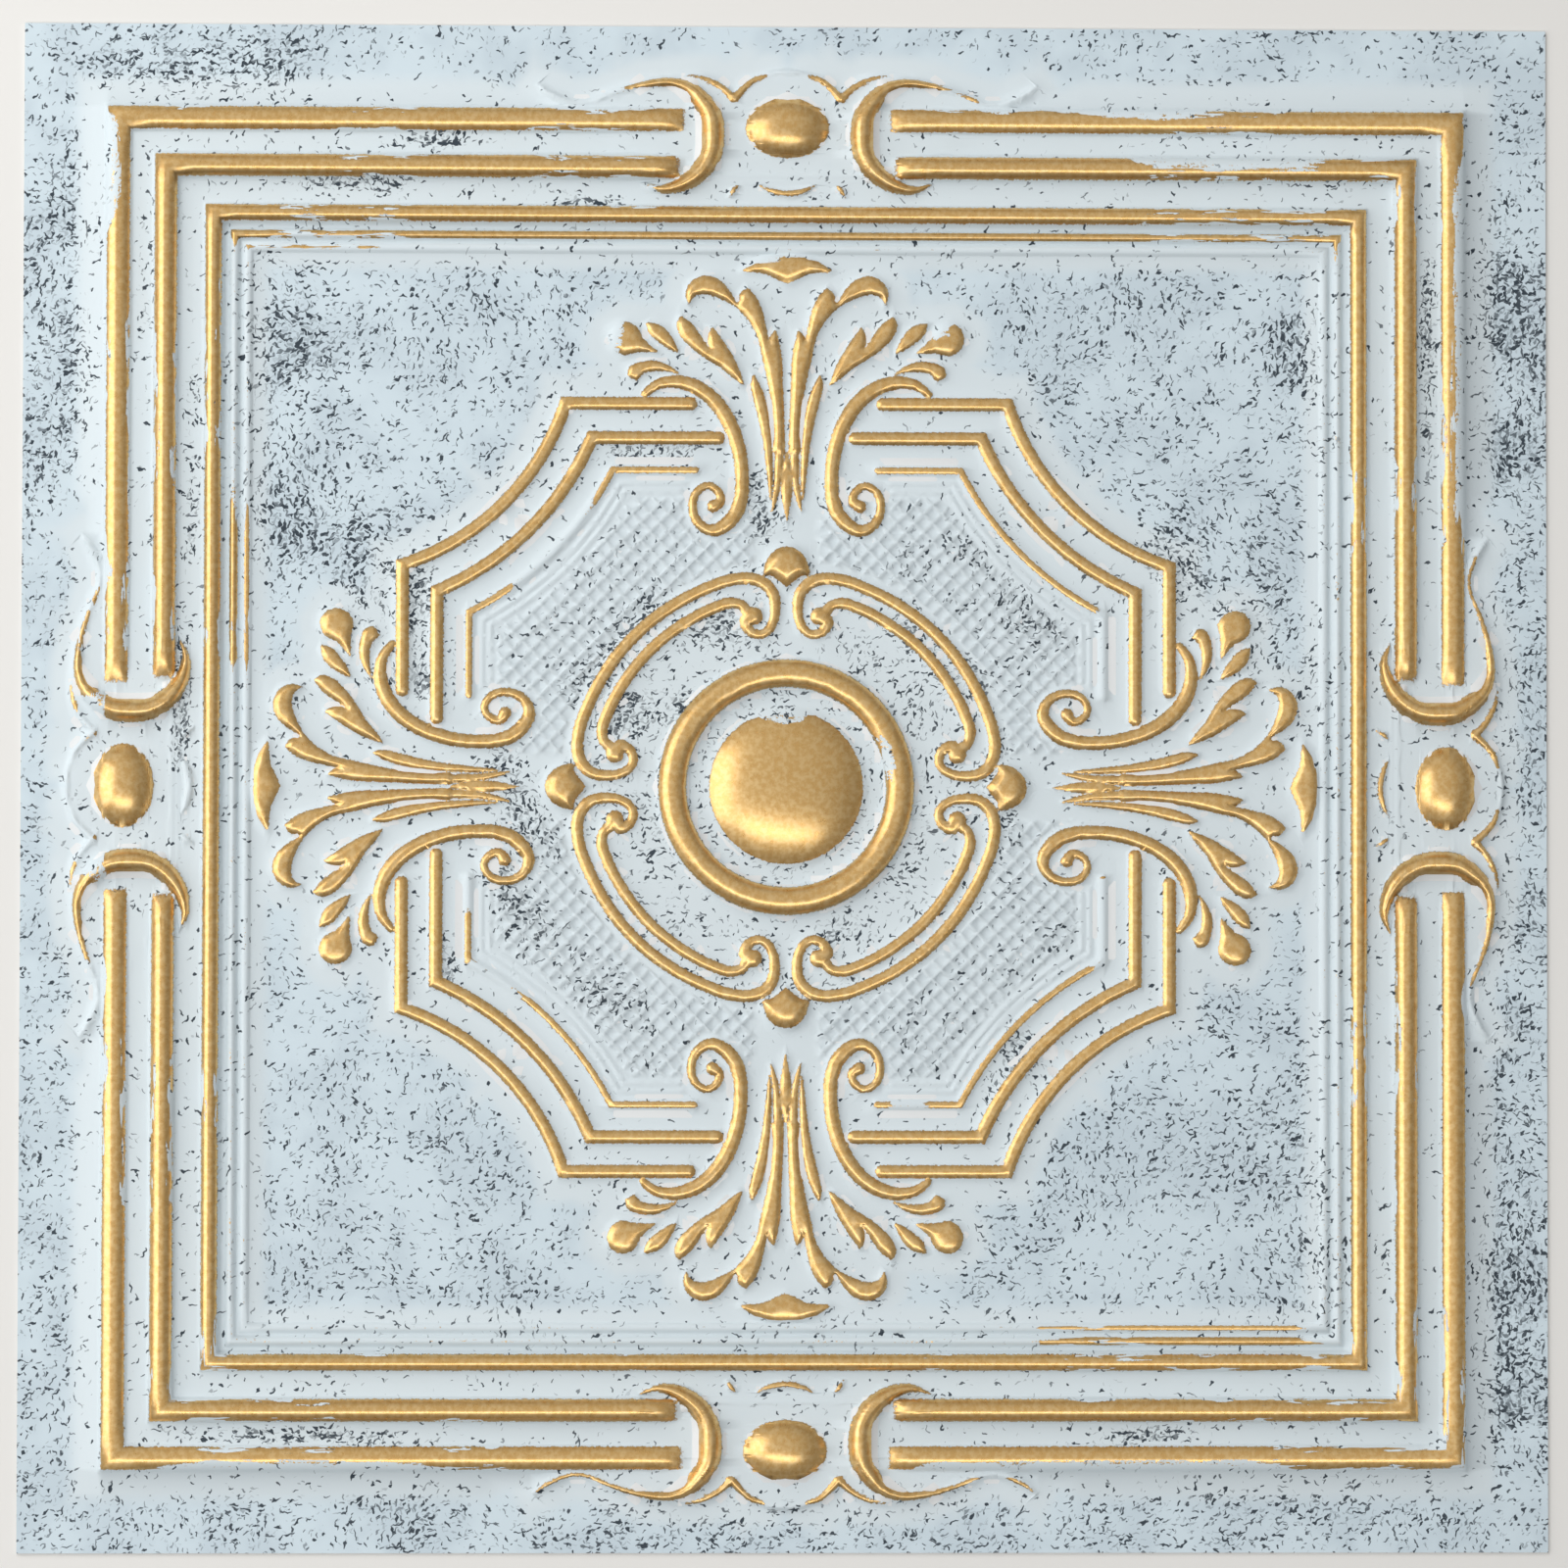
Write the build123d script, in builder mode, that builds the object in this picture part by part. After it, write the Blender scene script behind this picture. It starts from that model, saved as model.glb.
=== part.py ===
"""Faux tin ceiling tile: a square of thin plastic sheet, pressed into mouldings, scrolls and leaves.

The tile lies face up. Its flat border and field are on the sheet's own plane, the relief stands
up from them, and the back is hollow behind each large raised form, one sheet thickness lower.
The plan is the same in all eight mirrored sectors, so one is drawn and then mirrored and turned.
"""
import os
from math import cos, radians, sqrt

from build123d import *

# The sheet
SIDE = 603.0
SHEET = 0.8
PLAN = SIDE / 603.0

# Frame mouldings: distance from the centre, half width, lift of the feet and height over the sheet
RAIL_1_AT = 264.0 * PLAN
RAIL_1_HALF = 5.2
RAIL_1_LIFT = 1.6
RAIL_1_HIGH = 5.0
RAIL_2_AT = 245.2 * PLAN
RAIL_2_HALF = 4.6
RAIL_2_LIFT = 3.4
RAIL_2_HIGH = 7.0
RAIL_3_AT = 226.5 * PLAN
RAIL_3_HALF = 3.4
RAIL_3_LIFT = 2.6
RAIL_3_HIGH = 5.2
STEP_1_AT = 218.2 * PLAN
STEP_1_HALF = 2.0
STEP_1_HIGH = 2.4
STEP_2_AT = 213.0 * PLAN
STEP_2_HALF = 2.0
STEP_2_HIGH = 1.7
CHANNEL_HIGH = 2.2
CHANNEL_DIP = 0.8
RAIL_GAP = 31.0 * PLAN

# Small beads have a flat crest, this share of their width
CREST_SHARE = 0.45

# Cartouche in the middle of each side
EGG_AT = 261.7 * PLAN
EGG_LONG = 17.0
EGG_SHORT = 12.6
EGG_HIGH = 8.0
EGG_BEND = 0.7
EGG_SHOULDER = 0.71
EGG_WAIST = 5.4
EGG_DRAFT = 20.0
EGG_CROWN_DRAFT = 62.0
CRESCENT_HIGH = 7.8

# Star octagon: three beads with concave corners struck from one centre on the diagonal
STAR_CENTRE = 182.7 * PLAN
STAR_1_AT = 151.8 * PLAN
STAR_1_RADIUS = 100.0 * PLAN
STAR_1_END = 38.0 * PLAN
STAR_1_HALF = 2.7
STAR_1_HIGH = 2.2
STAR_2_AT = 138.2 * PLAN
STAR_2_RADIUS = 114.5 * PLAN
STAR_2_END = 27.0 * PLAN
STAR_2_HALF = 2.7
STAR_2_HIGH = 2.4
STAR_3_AT = 125.5 * PLAN
STAR_3_RADIUS = 127.3 * PLAN
STAR_3_END = 37.0 * PLAN
STAR_3_HALF = 1.9
STAR_3_HIGH = 1.5

# Medallion
DOME_RADIUS = 32.0
DOME_HIGH = 9.0
RING_AT = 44.5
RING_HALF = 6.0
RING_HIGH = 5.6
SCROLL_HALF = 2.6
SCROLL_HIGH = 2.6
BUD_HIGH = 4.5

# Leaves and their scrolled stems
STEM_HALF = 2.9
STEM_HIGH = 3.0
CURL_HALF = 1.9
CURL_HIGH = 2.0
LEAF_HIGH = 2.8
SPRIG_HIGH = 2.0


def spot(x, y):
    """A point of the ornament's plan, in step with the tile's side."""
    return (x * PLAN, y * PLAN)


def half_round(half_width, lift, height, inset, across=0.0):
    """Section of a rounded rail whose feet are lifted off the sheet, or of the hollow behind it."""
    base = SHEET - inset
    foot = half_width - inset
    floor = base - SHEET / 2
    with BuildSketch() as section:
        with BuildLine():
            crest = ThreePointArc(
                (across - foot, base + lift), (across, base + height), (across + foot, base + lift)
            )
            Polyline(crest @ 1, (across + foot, floor), (across - foot, floor), crest @ 0)
        make_face()
    return section.sketch


def bevelled(half_width, height, inset=0.0, across=0.0):
    """Section of a small bead: two sloped sides and a flat crest."""
    base = SHEET - inset
    foot = half_width - inset
    crest = half_width * CREST_SHARE - inset * (1 - CREST_SHARE)
    floor = base - SHEET / 2
    with BuildSketch() as section:
        with BuildLine():
            Polyline(
                (across - foot, floor),
                (across + foot, floor),
                (across + foot, base),
                (across + crest, base + height),
                (across - crest, base + height),
                (across - foot, base),
                close=True,
            )
        make_face()
    return section.sketch


def ridged(half_width, height):
    """Section of a curl: two slopes that meet in a ridge."""
    floor = SHEET / 2
    crest = SHEET + height
    with BuildSketch() as section:
        with BuildLine():
            Polyline(
                (-half_width, floor),
                (half_width, floor),
                (half_width, SHEET),
                (0, crest),
                (-half_width, SHEET),
                close=True,
            )
        make_face()
    return section.sketch


def channel(start, end, inset):
    """Section of the shallow cove between two rails."""
    base = SHEET - inset
    floor = base - SHEET / 2
    top = base + CHANNEL_HIGH
    with BuildSketch() as section:
        with BuildLine():
            cove = ThreePointArc((start, top), ((start + end) / 2, top - CHANNEL_DIP), (end, top))
            Polyline(cove @ 1, (end, floor), (start, floor), cove @ 0)
        make_face()
    return section.sketch


def rails(inset):
    """One side of the frame, mitred at its corners and open in the middle for the cartouche."""
    with BuildPart() as side:
        with BuildSketch(Plane.YZ):
            add(half_round(RAIL_1_HALF, RAIL_1_LIFT, RAIL_1_HIGH, inset, RAIL_1_AT))
            add(half_round(RAIL_2_HALF, RAIL_2_LIFT, RAIL_2_HIGH, inset, RAIL_2_AT))
            add(channel(RAIL_2_AT, RAIL_1_AT, inset))
        extrude(amount=SIDE / 2, both=True)
        with BuildSketch(Plane.XY.offset(-SHEET)):
            Rectangle(2 * RAIL_GAP + 2 * inset, SIDE)
        extrude(amount=RAIL_2_HIGH + 4 * SHEET, mode=Mode.SUBTRACT)
        with BuildSketch(Plane.YZ):
            add(half_round(RAIL_3_HALF, RAIL_3_LIFT, RAIL_3_HIGH, inset, RAIL_3_AT))
            add(channel(RAIL_3_AT, RAIL_2_AT - RAIL_2_HALF / 2, inset))
            add(bevelled(STEP_1_HALF, STEP_1_HIGH, inset, STEP_1_AT))
            add(bevelled(STEP_2_HALF, STEP_2_HIGH, inset, STEP_2_AT))
        extrude(amount=SIDE / 2, both=True)
        with BuildSketch(Plane.XY.offset(-SHEET)):
            Polygon((0, 0), (SIDE, SIDE), (-SIDE, SIDE), align=None)
        extrude(amount=RAIL_2_HIGH + 4 * SHEET, mode=Mode.INTERSECT)
    return side.part


def curve(first, heading, *points):
    """A flat path of arcs, each one leaving where the last one pointed."""
    with BuildLine() as path:
        arc = TangentArc(spot(*first), spot(*points[0]), tangent=heading)
        for point in points[1:]:
            arc = TangentArc(arc @ 1, spot(*point), tangent=arc % 1)
    return path.wire()


def run(path, section):
    """A small bead or ridge that follows a flat path."""
    along = path % 0
    across = Vector(0, 0, 1).cross(along)
    with BuildPart() as bead:
        with BuildSketch(Plane(origin=path @ 0, x_dir=across, z_dir=along)) as start:
            add(section)
        sweep(sections=start.sketch, path=path, transition=Transition.RIGHT)
    return bead.part


def outline(first, *steps):
    """A closed outline: each step is the end of a line, or a point on an arc and the arc's end."""
    with BuildSketch() as shape:
        with BuildLine():
            start = first
            for *way, end in steps:
                if way:
                    ThreePointArc(spot(*start), spot(*way[0]), spot(*end))
                else:
                    Line(spot(*start), spot(*end))
                start = end
        make_face()
    return shape.sketch


def leaf(plan, height):
    """A raised leaf with a flat top."""
    with BuildPart() as blade:
        with BuildSketch(Plane.XY.offset(SHEET / 2)):
            add(plan)
        extrude(amount=height + SHEET / 2)
    return blade.part


def medallion(inset):
    """The centre dome and the ring round it."""
    base = SHEET - inset
    floor = base - SHEET / 2
    foot = DOME_RADIUS - inset
    curvature = (DOME_RADIUS**2 + DOME_HIGH**2) / (2 * DOME_HIGH)
    hollow = DOME_HIGH * 3 / 4
    with BuildPart() as centre:
        with BuildSketch(Plane.XZ):
            with BuildLine():
                if inset:
                    flank = Polyline((foot, base), (foot / 2, base + hollow), (0, base + hollow))
                else:
                    flank = RadiusArc((foot, base), (0, base + DOME_HIGH), -curvature)
                Polyline(flank @ 1, (0, floor), (foot, floor), flank @ 0)
            make_face()
            add(bevelled(RING_HALF, RING_HIGH, inset, RING_AT))
        revolve(axis=Axis.Z)
    return centre.part


def star(at, radius, end, section):
    """One bead of the star octagon, round one concave corner."""
    corner = STAR_CENTRE - sqrt(radius**2 - (STAR_CENTRE - at) ** 2)
    waist = STAR_CENTRE - radius * cos(radians(45))
    with BuildLine() as path:
        Line((end, at), (corner, at))
        ThreePointArc((corner, at), (waist, waist), (at, corner))
        Line((at, corner), (at, end))
    return run(path.wire(), section)


def oval(long, short):
    """The egg's outline: two flat arcs, joined at each end by a tighter one that runs on from them."""
    bend = long * EGG_BEND
    shoulder = short * EGG_SHOULDER
    with BuildSketch() as shape:
        with BuildLine():
            under = ThreePointArc((-bend, -shoulder), (0, -short), (bend, -shoulder))
            TangentArc(under @ 1, (bend, shoulder), tangent=under % 1)
            over = ThreePointArc((bend, shoulder), (0, short), (-bend, shoulder))
            TangentArc(over @ 1, (-bend, -shoulder), tangent=over % 1)
        make_face()
    return shape.sketch


def egg(inset):
    """The egg in the middle of a side, drafted steeply, and in front flatly towards its crown."""
    with BuildPart() as body:
        with BuildSketch(Plane.XY.offset(SHEET / 2 - inset)):
            with Locations((0, EGG_AT)):
                add(oval(EGG_LONG - inset, EGG_SHORT - inset))
        extrude(amount=EGG_WAIST + SHEET / 2, taper=EGG_DRAFT)
        if not inset:
            extrude(body.faces().sort_by(Axis.Z)[-1], amount=EGG_HIGH - EGG_WAIST, taper=EGG_CROWN_DRAFT)
    return body.part


def crescent():
    """The crescent beside the egg, which holds the ends of the rails."""
    horn = outline(
        (55, 237.5),
        [(33.2, 253), (41, 276.8)],
        [(52, 279.4)],
        [(28, 268), (27.5, 247)],
        [(39, 235.6), (55, 237.5)],
    )
    return leaf(horn, CRESCENT_HIGH)


def scroll():
    """Half of one scrolled frame of the medallion, from the diagonal to the curl beside the axis."""
    frame = curve((59.8, 59.8), (-1, 1), (20, 82))
    curl = curve((20, 82), (-1, 0.05), (2.6, 70), (9, 60.2), (14, 64))
    with BuildPart() as half:
        add(run(frame, bevelled(SCROLL_HALF, SCROLL_HIGH)))
        add(run(curl, ridged(CURL_HALF, CURL_HIGH)))
    return half.part


def foliage():
    """Half of the leaves over one side of the medallion, with the scrolled stem beside them."""
    crown = outline(
        (1.2, 133),
        [(5, 133)],
        [(8.2, 164), (17, 187)],
        [(25, 193)],
        [(33, 195), (38.8, 191.4)],
        [(39.6, 195)],
        [(28.5, 201.4), (20, 191.6)],
        [(15.5, 197)],
        [(10, 188.5), (7.3, 176)],
        [(4.5, 180)],
        [(1.8, 160)],
        [(1.2, 133)],
    )
    fork = outline(
        (17.5, 160),
        [(33, 170.5), (42.5, 180)],
        [(42, 185.6)],
        [(30.6, 173)],
        [(29.5, 181.5)],
        [(22.6, 171.5), (17.5, 160)],
    )
    lobe = outline((52, 172.5), [(66, 171.8)], [(69.4, 178.6), (65, 183.2)], [(52, 172.5)])
    blade = outline((6.4, 116), [(13, 162)], [(6.8, 141), (6.4, 116)])
    stem = curve((57, 154.5), (-0.5, 1), (45, 160.2), (28, 152), (18, 124), (23.5, 103.5))
    curl = curve((23.5, 103.5), (0.8, -0.6), (36.4, 106), (34, 118))
    with BuildPart() as half:
        add(run(stem, bevelled(STEM_HALF, STEM_HIGH)))
        add(run(curl, ridged(CURL_HALF, CURL_HIGH)))
        add(leaf(crown, LEAF_HIGH))
        add(leaf(fork, LEAF_HIGH))
        add(leaf(lobe, LEAF_HIGH))
        add(leaf(blade, SPRIG_HIGH))
    return half.part


def buds():
    """The bud between two scrolled frames, the flame under the leaves and the cap over them."""
    bud = outline((-8.4, 87), [(0, 81.6)], [(8.4, 87)], [(0, 95.3), (-8.4, 87)])
    flame = outline((0, 107.6), [(2.6, 116)], [(0, 131)], [(-2.6, 116)], [(0, 107.6)])
    cap = outline((-17, 204.4), [(0, 200)], [(17, 204.4)], [(0, 210.4), (-17, 204.4)])
    with BuildPart() as group:
        add(leaf(bud, BUD_HIGH))
        add(leaf(flame, SPRIG_HIGH))
        add(leaf(cap, LEAF_HIGH))
    return group.part


def relief(inset):
    """All that stands off the sheet (no inset), or the hollows behind its large forms (one sheet inset)."""
    with BuildPart() as sector:
        if not inset:
            add(crescent())
            add(foliage())
            add(scroll())
            mirror(about=Plane.YZ)
            add(buds())
            add(star(STAR_1_AT, STAR_1_RADIUS, STAR_1_END, bevelled(STAR_1_HALF, STAR_1_HIGH)))
            add(star(STAR_2_AT, STAR_2_RADIUS, STAR_2_END, bevelled(STAR_2_HALF, STAR_2_HIGH)))
            add(star(STAR_3_AT, STAR_3_RADIUS, STAR_3_END, ridged(STAR_3_HALF, STAR_3_HIGH)))
        add(egg(inset))
        add(rails(inset))
    with BuildPart() as whole:
        with PolarLocations(0, 4):
            add(sector.part)
        add(medallion(inset))
    return whole.part


raised = relief(0.0)
hollows = relief(SHEET)

with BuildPart() as ceiling_tile:
    with BuildSketch():
        Rectangle(SIDE, SIDE)
    extrude(amount=SHEET)
    add(raised)
    add(hollows, mode=Mode.SUBTRACT)

ceiling_tile.part.label = "ceiling_tile"

os.makedirs("parts", exist_ok=True)
export_step(ceiling_tile.part, "parts/ceiling_tile.step")
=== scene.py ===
"""Faux tin ceiling tile: one formed plastic sheet with distressed white paint and gilded ornament.

The ornament is the same in all eight mirrored sectors of the tile. Its plan is drawn once, in
millimetres, for the sector to the right of the top middle. The sheet's front and back follow it as
one closed mesh, and the paint reads the distances to the gilded outlines from the mesh's attributes.
"""

import logging
import math
from dataclasses import dataclass
from enum import Enum

import bmesh
import bpy
import numpy as np
from mathutils import Matrix, Vector


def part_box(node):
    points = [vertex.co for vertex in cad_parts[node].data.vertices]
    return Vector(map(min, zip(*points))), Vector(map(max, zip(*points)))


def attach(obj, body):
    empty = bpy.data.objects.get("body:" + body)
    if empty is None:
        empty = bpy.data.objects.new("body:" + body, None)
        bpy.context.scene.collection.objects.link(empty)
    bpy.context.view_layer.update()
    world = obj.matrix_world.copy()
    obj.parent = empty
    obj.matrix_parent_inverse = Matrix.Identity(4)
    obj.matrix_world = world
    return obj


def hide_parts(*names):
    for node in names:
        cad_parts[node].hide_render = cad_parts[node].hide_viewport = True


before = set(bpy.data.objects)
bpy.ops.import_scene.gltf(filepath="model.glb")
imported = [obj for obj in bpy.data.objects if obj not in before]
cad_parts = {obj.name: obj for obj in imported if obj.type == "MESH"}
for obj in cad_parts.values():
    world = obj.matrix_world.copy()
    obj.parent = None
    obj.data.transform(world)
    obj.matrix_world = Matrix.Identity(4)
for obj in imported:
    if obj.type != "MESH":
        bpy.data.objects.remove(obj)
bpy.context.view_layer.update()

LOG = logging.getLogger("ceiling_tile")

MM = 0.001
# A distance in mm that is beyond every form
FAR = 99.0
# Points worked out at a time, to spare memory
CHUNK = 4000
# The soft skirt round a form: its width in mm, and its share of the form's height
SKIRT_WIDE = 3.0
SKIRT_SHARE = 0.28
# Points farther than this from a form's outline are left out of its sums, in mm
NEAR_FORM = 14.0
# From this distance from the centre on, brush strokes follow the frame, in mm
FRAME_FROM = 208.0
# Step in mm over which the rise of the relief is measured, for the painted shade on the gold's down-facing
# slopes
LEE_STEP = 0.4
# Gilding distances are kept within this many mm
GILT_LIMIT = 12.0
# Points this close, in mm, count as lying on a cut
ON_CUT = 1e-4

Array = np.ndarray
Point = tuple[float, float]
Knot = tuple[float, float, float]
Colour = tuple[float, float, float, float]
Place = tuple[float, float, float]


def srgb(red: int, green: int, blue: int) -> Colour:
    """Turns a display colour into the linear colour that shaders take.

    Args:
        red: Red, 0 to 255.
        green: Green, 0 to 255.
        blue: Blue, 0 to 255.

    Returns:
        The linear colour with full alpha.
    """
    shares = [value / 255 for value in (red, green, blue)]
    linear = [s / 12.92 if s < 0.04045 else ((s + 0.055) / 1.055) ** 2.4 for s in shares]
    return (linear[0], linear[1], linear[2], 1.0)


def crown(share: Array, high: float, roundness: float = 0.8) -> Array:
    """Section of a rounded bead.

    Args:
        share: Distance from the crest, as a share of the half width.
        high: Height of the crest.
        roundness: Lower values give fuller shoulders, 1 gives a parabola.

    Returns:
        The height at each share, nothing beyond 1.
    """
    return high * np.clip(1 - share**2, 0, None) ** roundness


def skirted(reach: Array, body: Array, high: float | Array) -> Array:
    """Sets a form on a soft skirt that runs out onto the ground, as a formed sheet has.

    Args:
        reach: How far each point is inside the form's outline.
        body: Height of the form alone.
        high: Its full height.

    Returns:
        The height of the form and its skirt.
    """
    spread = np.clip(1 + reach / SKIRT_WIDE, 0, 1)
    return SKIRT_SHARE * high * spread**2 + (1 - SKIRT_SHARE) * body


def smooth_line(knots: Array, step: float = 0.6) -> Array:
    """Runs a smooth line through knots.

    Args:
        knots: One row for each knot, the first two columns its place.
        step: Spacing of the points along the line.

    Returns:
        Points on the line, with the columns of the knots.
    """
    chord = np.hypot(*np.diff(knots[:, :2], axis=0).T)
    at = np.concatenate([[0.0], np.cumsum(chord)])
    slope = np.gradient(knots, at, axis=0)
    along = np.linspace(0, at[-1], max(2, math.ceil(at[-1] / step) + 1))
    first = np.clip(np.searchsorted(at, along, "right") - 1, 0, len(at) - 2)
    span = (at[first + 1] - at[first])[:, None]
    t = (along - at[first])[:, None] / span
    ease = t * t * (3 - 2 * t)
    return (
        knots[first] * (1 - ease)
        + knots[first + 1] * ease
        + slope[first] * span * t * (1 - t) ** 2
        - slope[first + 1] * span * t * t * (1 - t)
    )


def nearest(x: Array, y: Array, line: Array) -> tuple[Array, Array]:
    """Finds the nearest place on a line of points.

    Args:
        x: Places across.
        y: Places up.
        line: Points on the line.

    Returns:
        The distance to the line, and the place along it counted in points.
    """
    start, way = line[:-1, :2], np.diff(line[:, :2], axis=0)
    square = np.maximum((way**2).sum(1), 1e-9)
    distance, place = np.empty(len(x)), np.empty(len(x))
    for low in range(0, len(x), CHUNK):
        part = slice(low, low + CHUNK)
        dx = x[part, None] - start[:, 0]
        dy = y[part, None] - start[:, 1]
        share = np.clip((dx * way[:, 0] + dy * way[:, 1]) / square, 0, 1)
        gap = (dx - share * way[:, 0]) ** 2 + (dy - share * way[:, 1]) ** 2
        best = gap.argmin(1)
        row = np.arange(len(best))
        distance[part] = np.sqrt(gap[row, best])
        place[part] = best + share[row, best]
    return distance, place


class Gilding(Enum):
    """How much of a form is gilded: the distance that its gilding stands in from its outline, in mm."""

    FULL = 0.2
    EDGED = 0.7
    BARE = FAR


@dataclass
class Layer:
    """What forms do at each point: their height, and how far inside their outlines the point is."""

    height: Array
    reach: Array
    gilt: Array

    @classmethod
    def flat(cls, count: int) -> "Layer":
        """A layer of bare flat sheet."""
        return cls(np.zeros(count), np.full(count, -FAR), np.full(count, -FAR))

    def raise_by(self, other: "Layer", where: Array | slice = slice(None)) -> None:
        """Lays another layer's forms over this one.

        Args:
            other: The layer to add.
            where: The points of this layer that the other one holds.
        """
        self.height[where] = np.maximum(self.height[where], other.height)
        self.reach[where] = np.maximum(self.reach[where], other.reach)
        self.gilt[where] = np.maximum(self.gilt[where], other.gilt)


class Plan:
    """Points of the tile folded into the one sector that all eight share."""

    def __init__(self, x: Array, y: Array) -> None:
        """Folds the points.

        Args:
            x: Places across the tile, in mm from its centre.
            y: Places up the tile.
        """
        self.a = np.minimum(np.abs(x), np.abs(y))
        self.b = np.maximum(np.abs(x), np.abs(y))
        self.r = np.hypot(x, y)

    def close_to(self, line: Array, margin: float) -> Array:
        """Marks the points in a line's box, widened by a margin."""
        low, high = line[:, :2].min(0) - margin, line[:, :2].max(0) + margin
        across = (self.a >= low[0]) & (self.a <= high[0])
        return np.flatnonzero(across & (self.b >= low[1]) & (self.b <= high[1]))


@dataclass(frozen=True)
class Stroke:
    """A bead along a smooth line, which swells and tapers."""

    knots: tuple[Knot, ...]
    high: float
    gilding: Gilding = Gilding.FULL
    roundness: float = 0.8

    def lay(self, plan: Plan, layer: Layer) -> None:
        """Adds the bead to a layer.

        Args:
            plan: The points.
            layer: What is at them so far.
        """
        line = smooth_line(np.array(self.knots))
        where = plan.close_to(line, NEAR_FORM)
        if not len(where):
            return
        distance, place = nearest(plan.a[where], plan.b[where], line)
        half = np.maximum(np.interp(place, np.arange(len(line)), line[:, 2]), 0.05)
        full = max(knot[2] for knot in self.knots)
        height = crown(distance / half, self.high, self.roundness) * (0.35 + 0.65 * half / full)
        reach = half - distance
        height = skirted(reach, height, self.high * half / full)
        layer.raise_by(Layer(height, reach, reach - self.gilding.value), where)


@dataclass(frozen=True)
class Lobe:
    """A leaf or other raised patch, with an outline of smooth runs that meet in corners."""

    runs: tuple[tuple[Point, ...], ...]
    high: float
    shoulder: float
    gilding: Gilding = Gilding.FULL
    swell: float = 0.6

    def lay(self, plan: Plan, layer: Layer) -> None:
        """Adds the patch to a layer.

        Args:
            plan: The points.
            layer: What is at them so far.
        """
        line = np.concatenate([smooth_line(np.array(run)) for run in self.runs])
        where = plan.close_to(line, NEAR_FORM)
        if not len(where):
            return
        x, y = plan.a[where], plan.b[where]
        distance, _ = nearest(x, y, line)
        reach = np.where(self.holds(x, y, line), distance, -distance) + self.swell
        share = np.clip(reach / self.shoulder, 0, 1)
        height = skirted(reach, crown(1 - share, self.high), self.high)
        layer.raise_by(Layer(height, reach, reach - self.gilding.value), where)

    @staticmethod
    def holds(x: Array, y: Array, line: Array) -> Array:
        """Tells which points are inside a closed line, by counting crossings to their right.

        Args:
            x: Places across.
            y: Places up.
            line: The closed line.

        Returns:
            True for each point inside.
        """
        x0, y0 = line[:, 0], line[:, 1]
        x1, y1 = np.roll(x0, -1), np.roll(y0, -1)
        rise = np.where(y1 == y0, 1e-9, y1 - y0)
        inside = np.empty(len(x), bool)
        for low in range(0, len(x), CHUNK):
            part = slice(low, low + CHUNK)
            up = y[part, None]
            between = (y0 > up) != (y1 > up)
            cross = x0 + (up - y0) / rise * (x1 - x0)
            inside[part] = (between & (x[part, None] < cross)).sum(1) % 2 == 1
        return inside


# A rail's foot reaches this far out and eases off over this much, as shares of its half width
FOOT_SHARE = 1.2
FOOT_EASE = 0.2
# Rails with a smaller half width, in mm, are thin beads, with a crisper edge to their gilding
THIN_HALF = 3.0
THIN_SHARPNESS = 4


@dataclass(frozen=True)
class Rail:
    """One straight moulding of the frame."""

    at: float
    half: float
    lift: float
    high: float
    end: float
    gilding: Gilding = Gilding.FULL
    end_swell: float = 18.0
    end_bare: float = 4.0
    end_ease: float = 0.35

    def stations(self) -> list[float]:
        """Distances from the centre at which the sheet has a row of points."""
        wide = (FOOT_SHARE, 1.0, 0.88, 0.65, 0.33, 0.0)
        thin = (FOOT_SHARE, 1.0, 0.7, 0.0)
        shares = wide if self.half > THIN_HALF else thin
        return [self.at + side * share * self.half for share in shares for side in (-1, 1)]

    def lay(self, plan: Plan, layer: Layer) -> None:
        """Adds the moulding to a layer.

        Args:
            plan: The points.
            layer: What is at them so far.
        """
        share = (plan.b - self.at) / self.half
        foot = np.clip((FOOT_SHARE - np.abs(share)) / FOOT_EASE, 0, 1)
        height = self.lift * foot + crown(share, self.high - self.lift)
        swell = np.clip((plan.a - self.end) / self.end_swell, 0, 1) if self.end else 1.0
        height = height * (1 - (1 - swell) ** 3)
        reach = self.half - np.abs(plan.b - self.at)
        gilt = reach - self.gilding.value
        if self.end:
            gilt = np.minimum(gilt, (plan.a - self.end - self.end_bare) * self.end_ease)
        if self.half < THIN_HALF:
            gilt = np.where(gilt < 0, THIN_SHARPNESS * gilt, gilt)
        layer.raise_by(Layer(height, np.full_like(height, -FAR), gilt))


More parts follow.
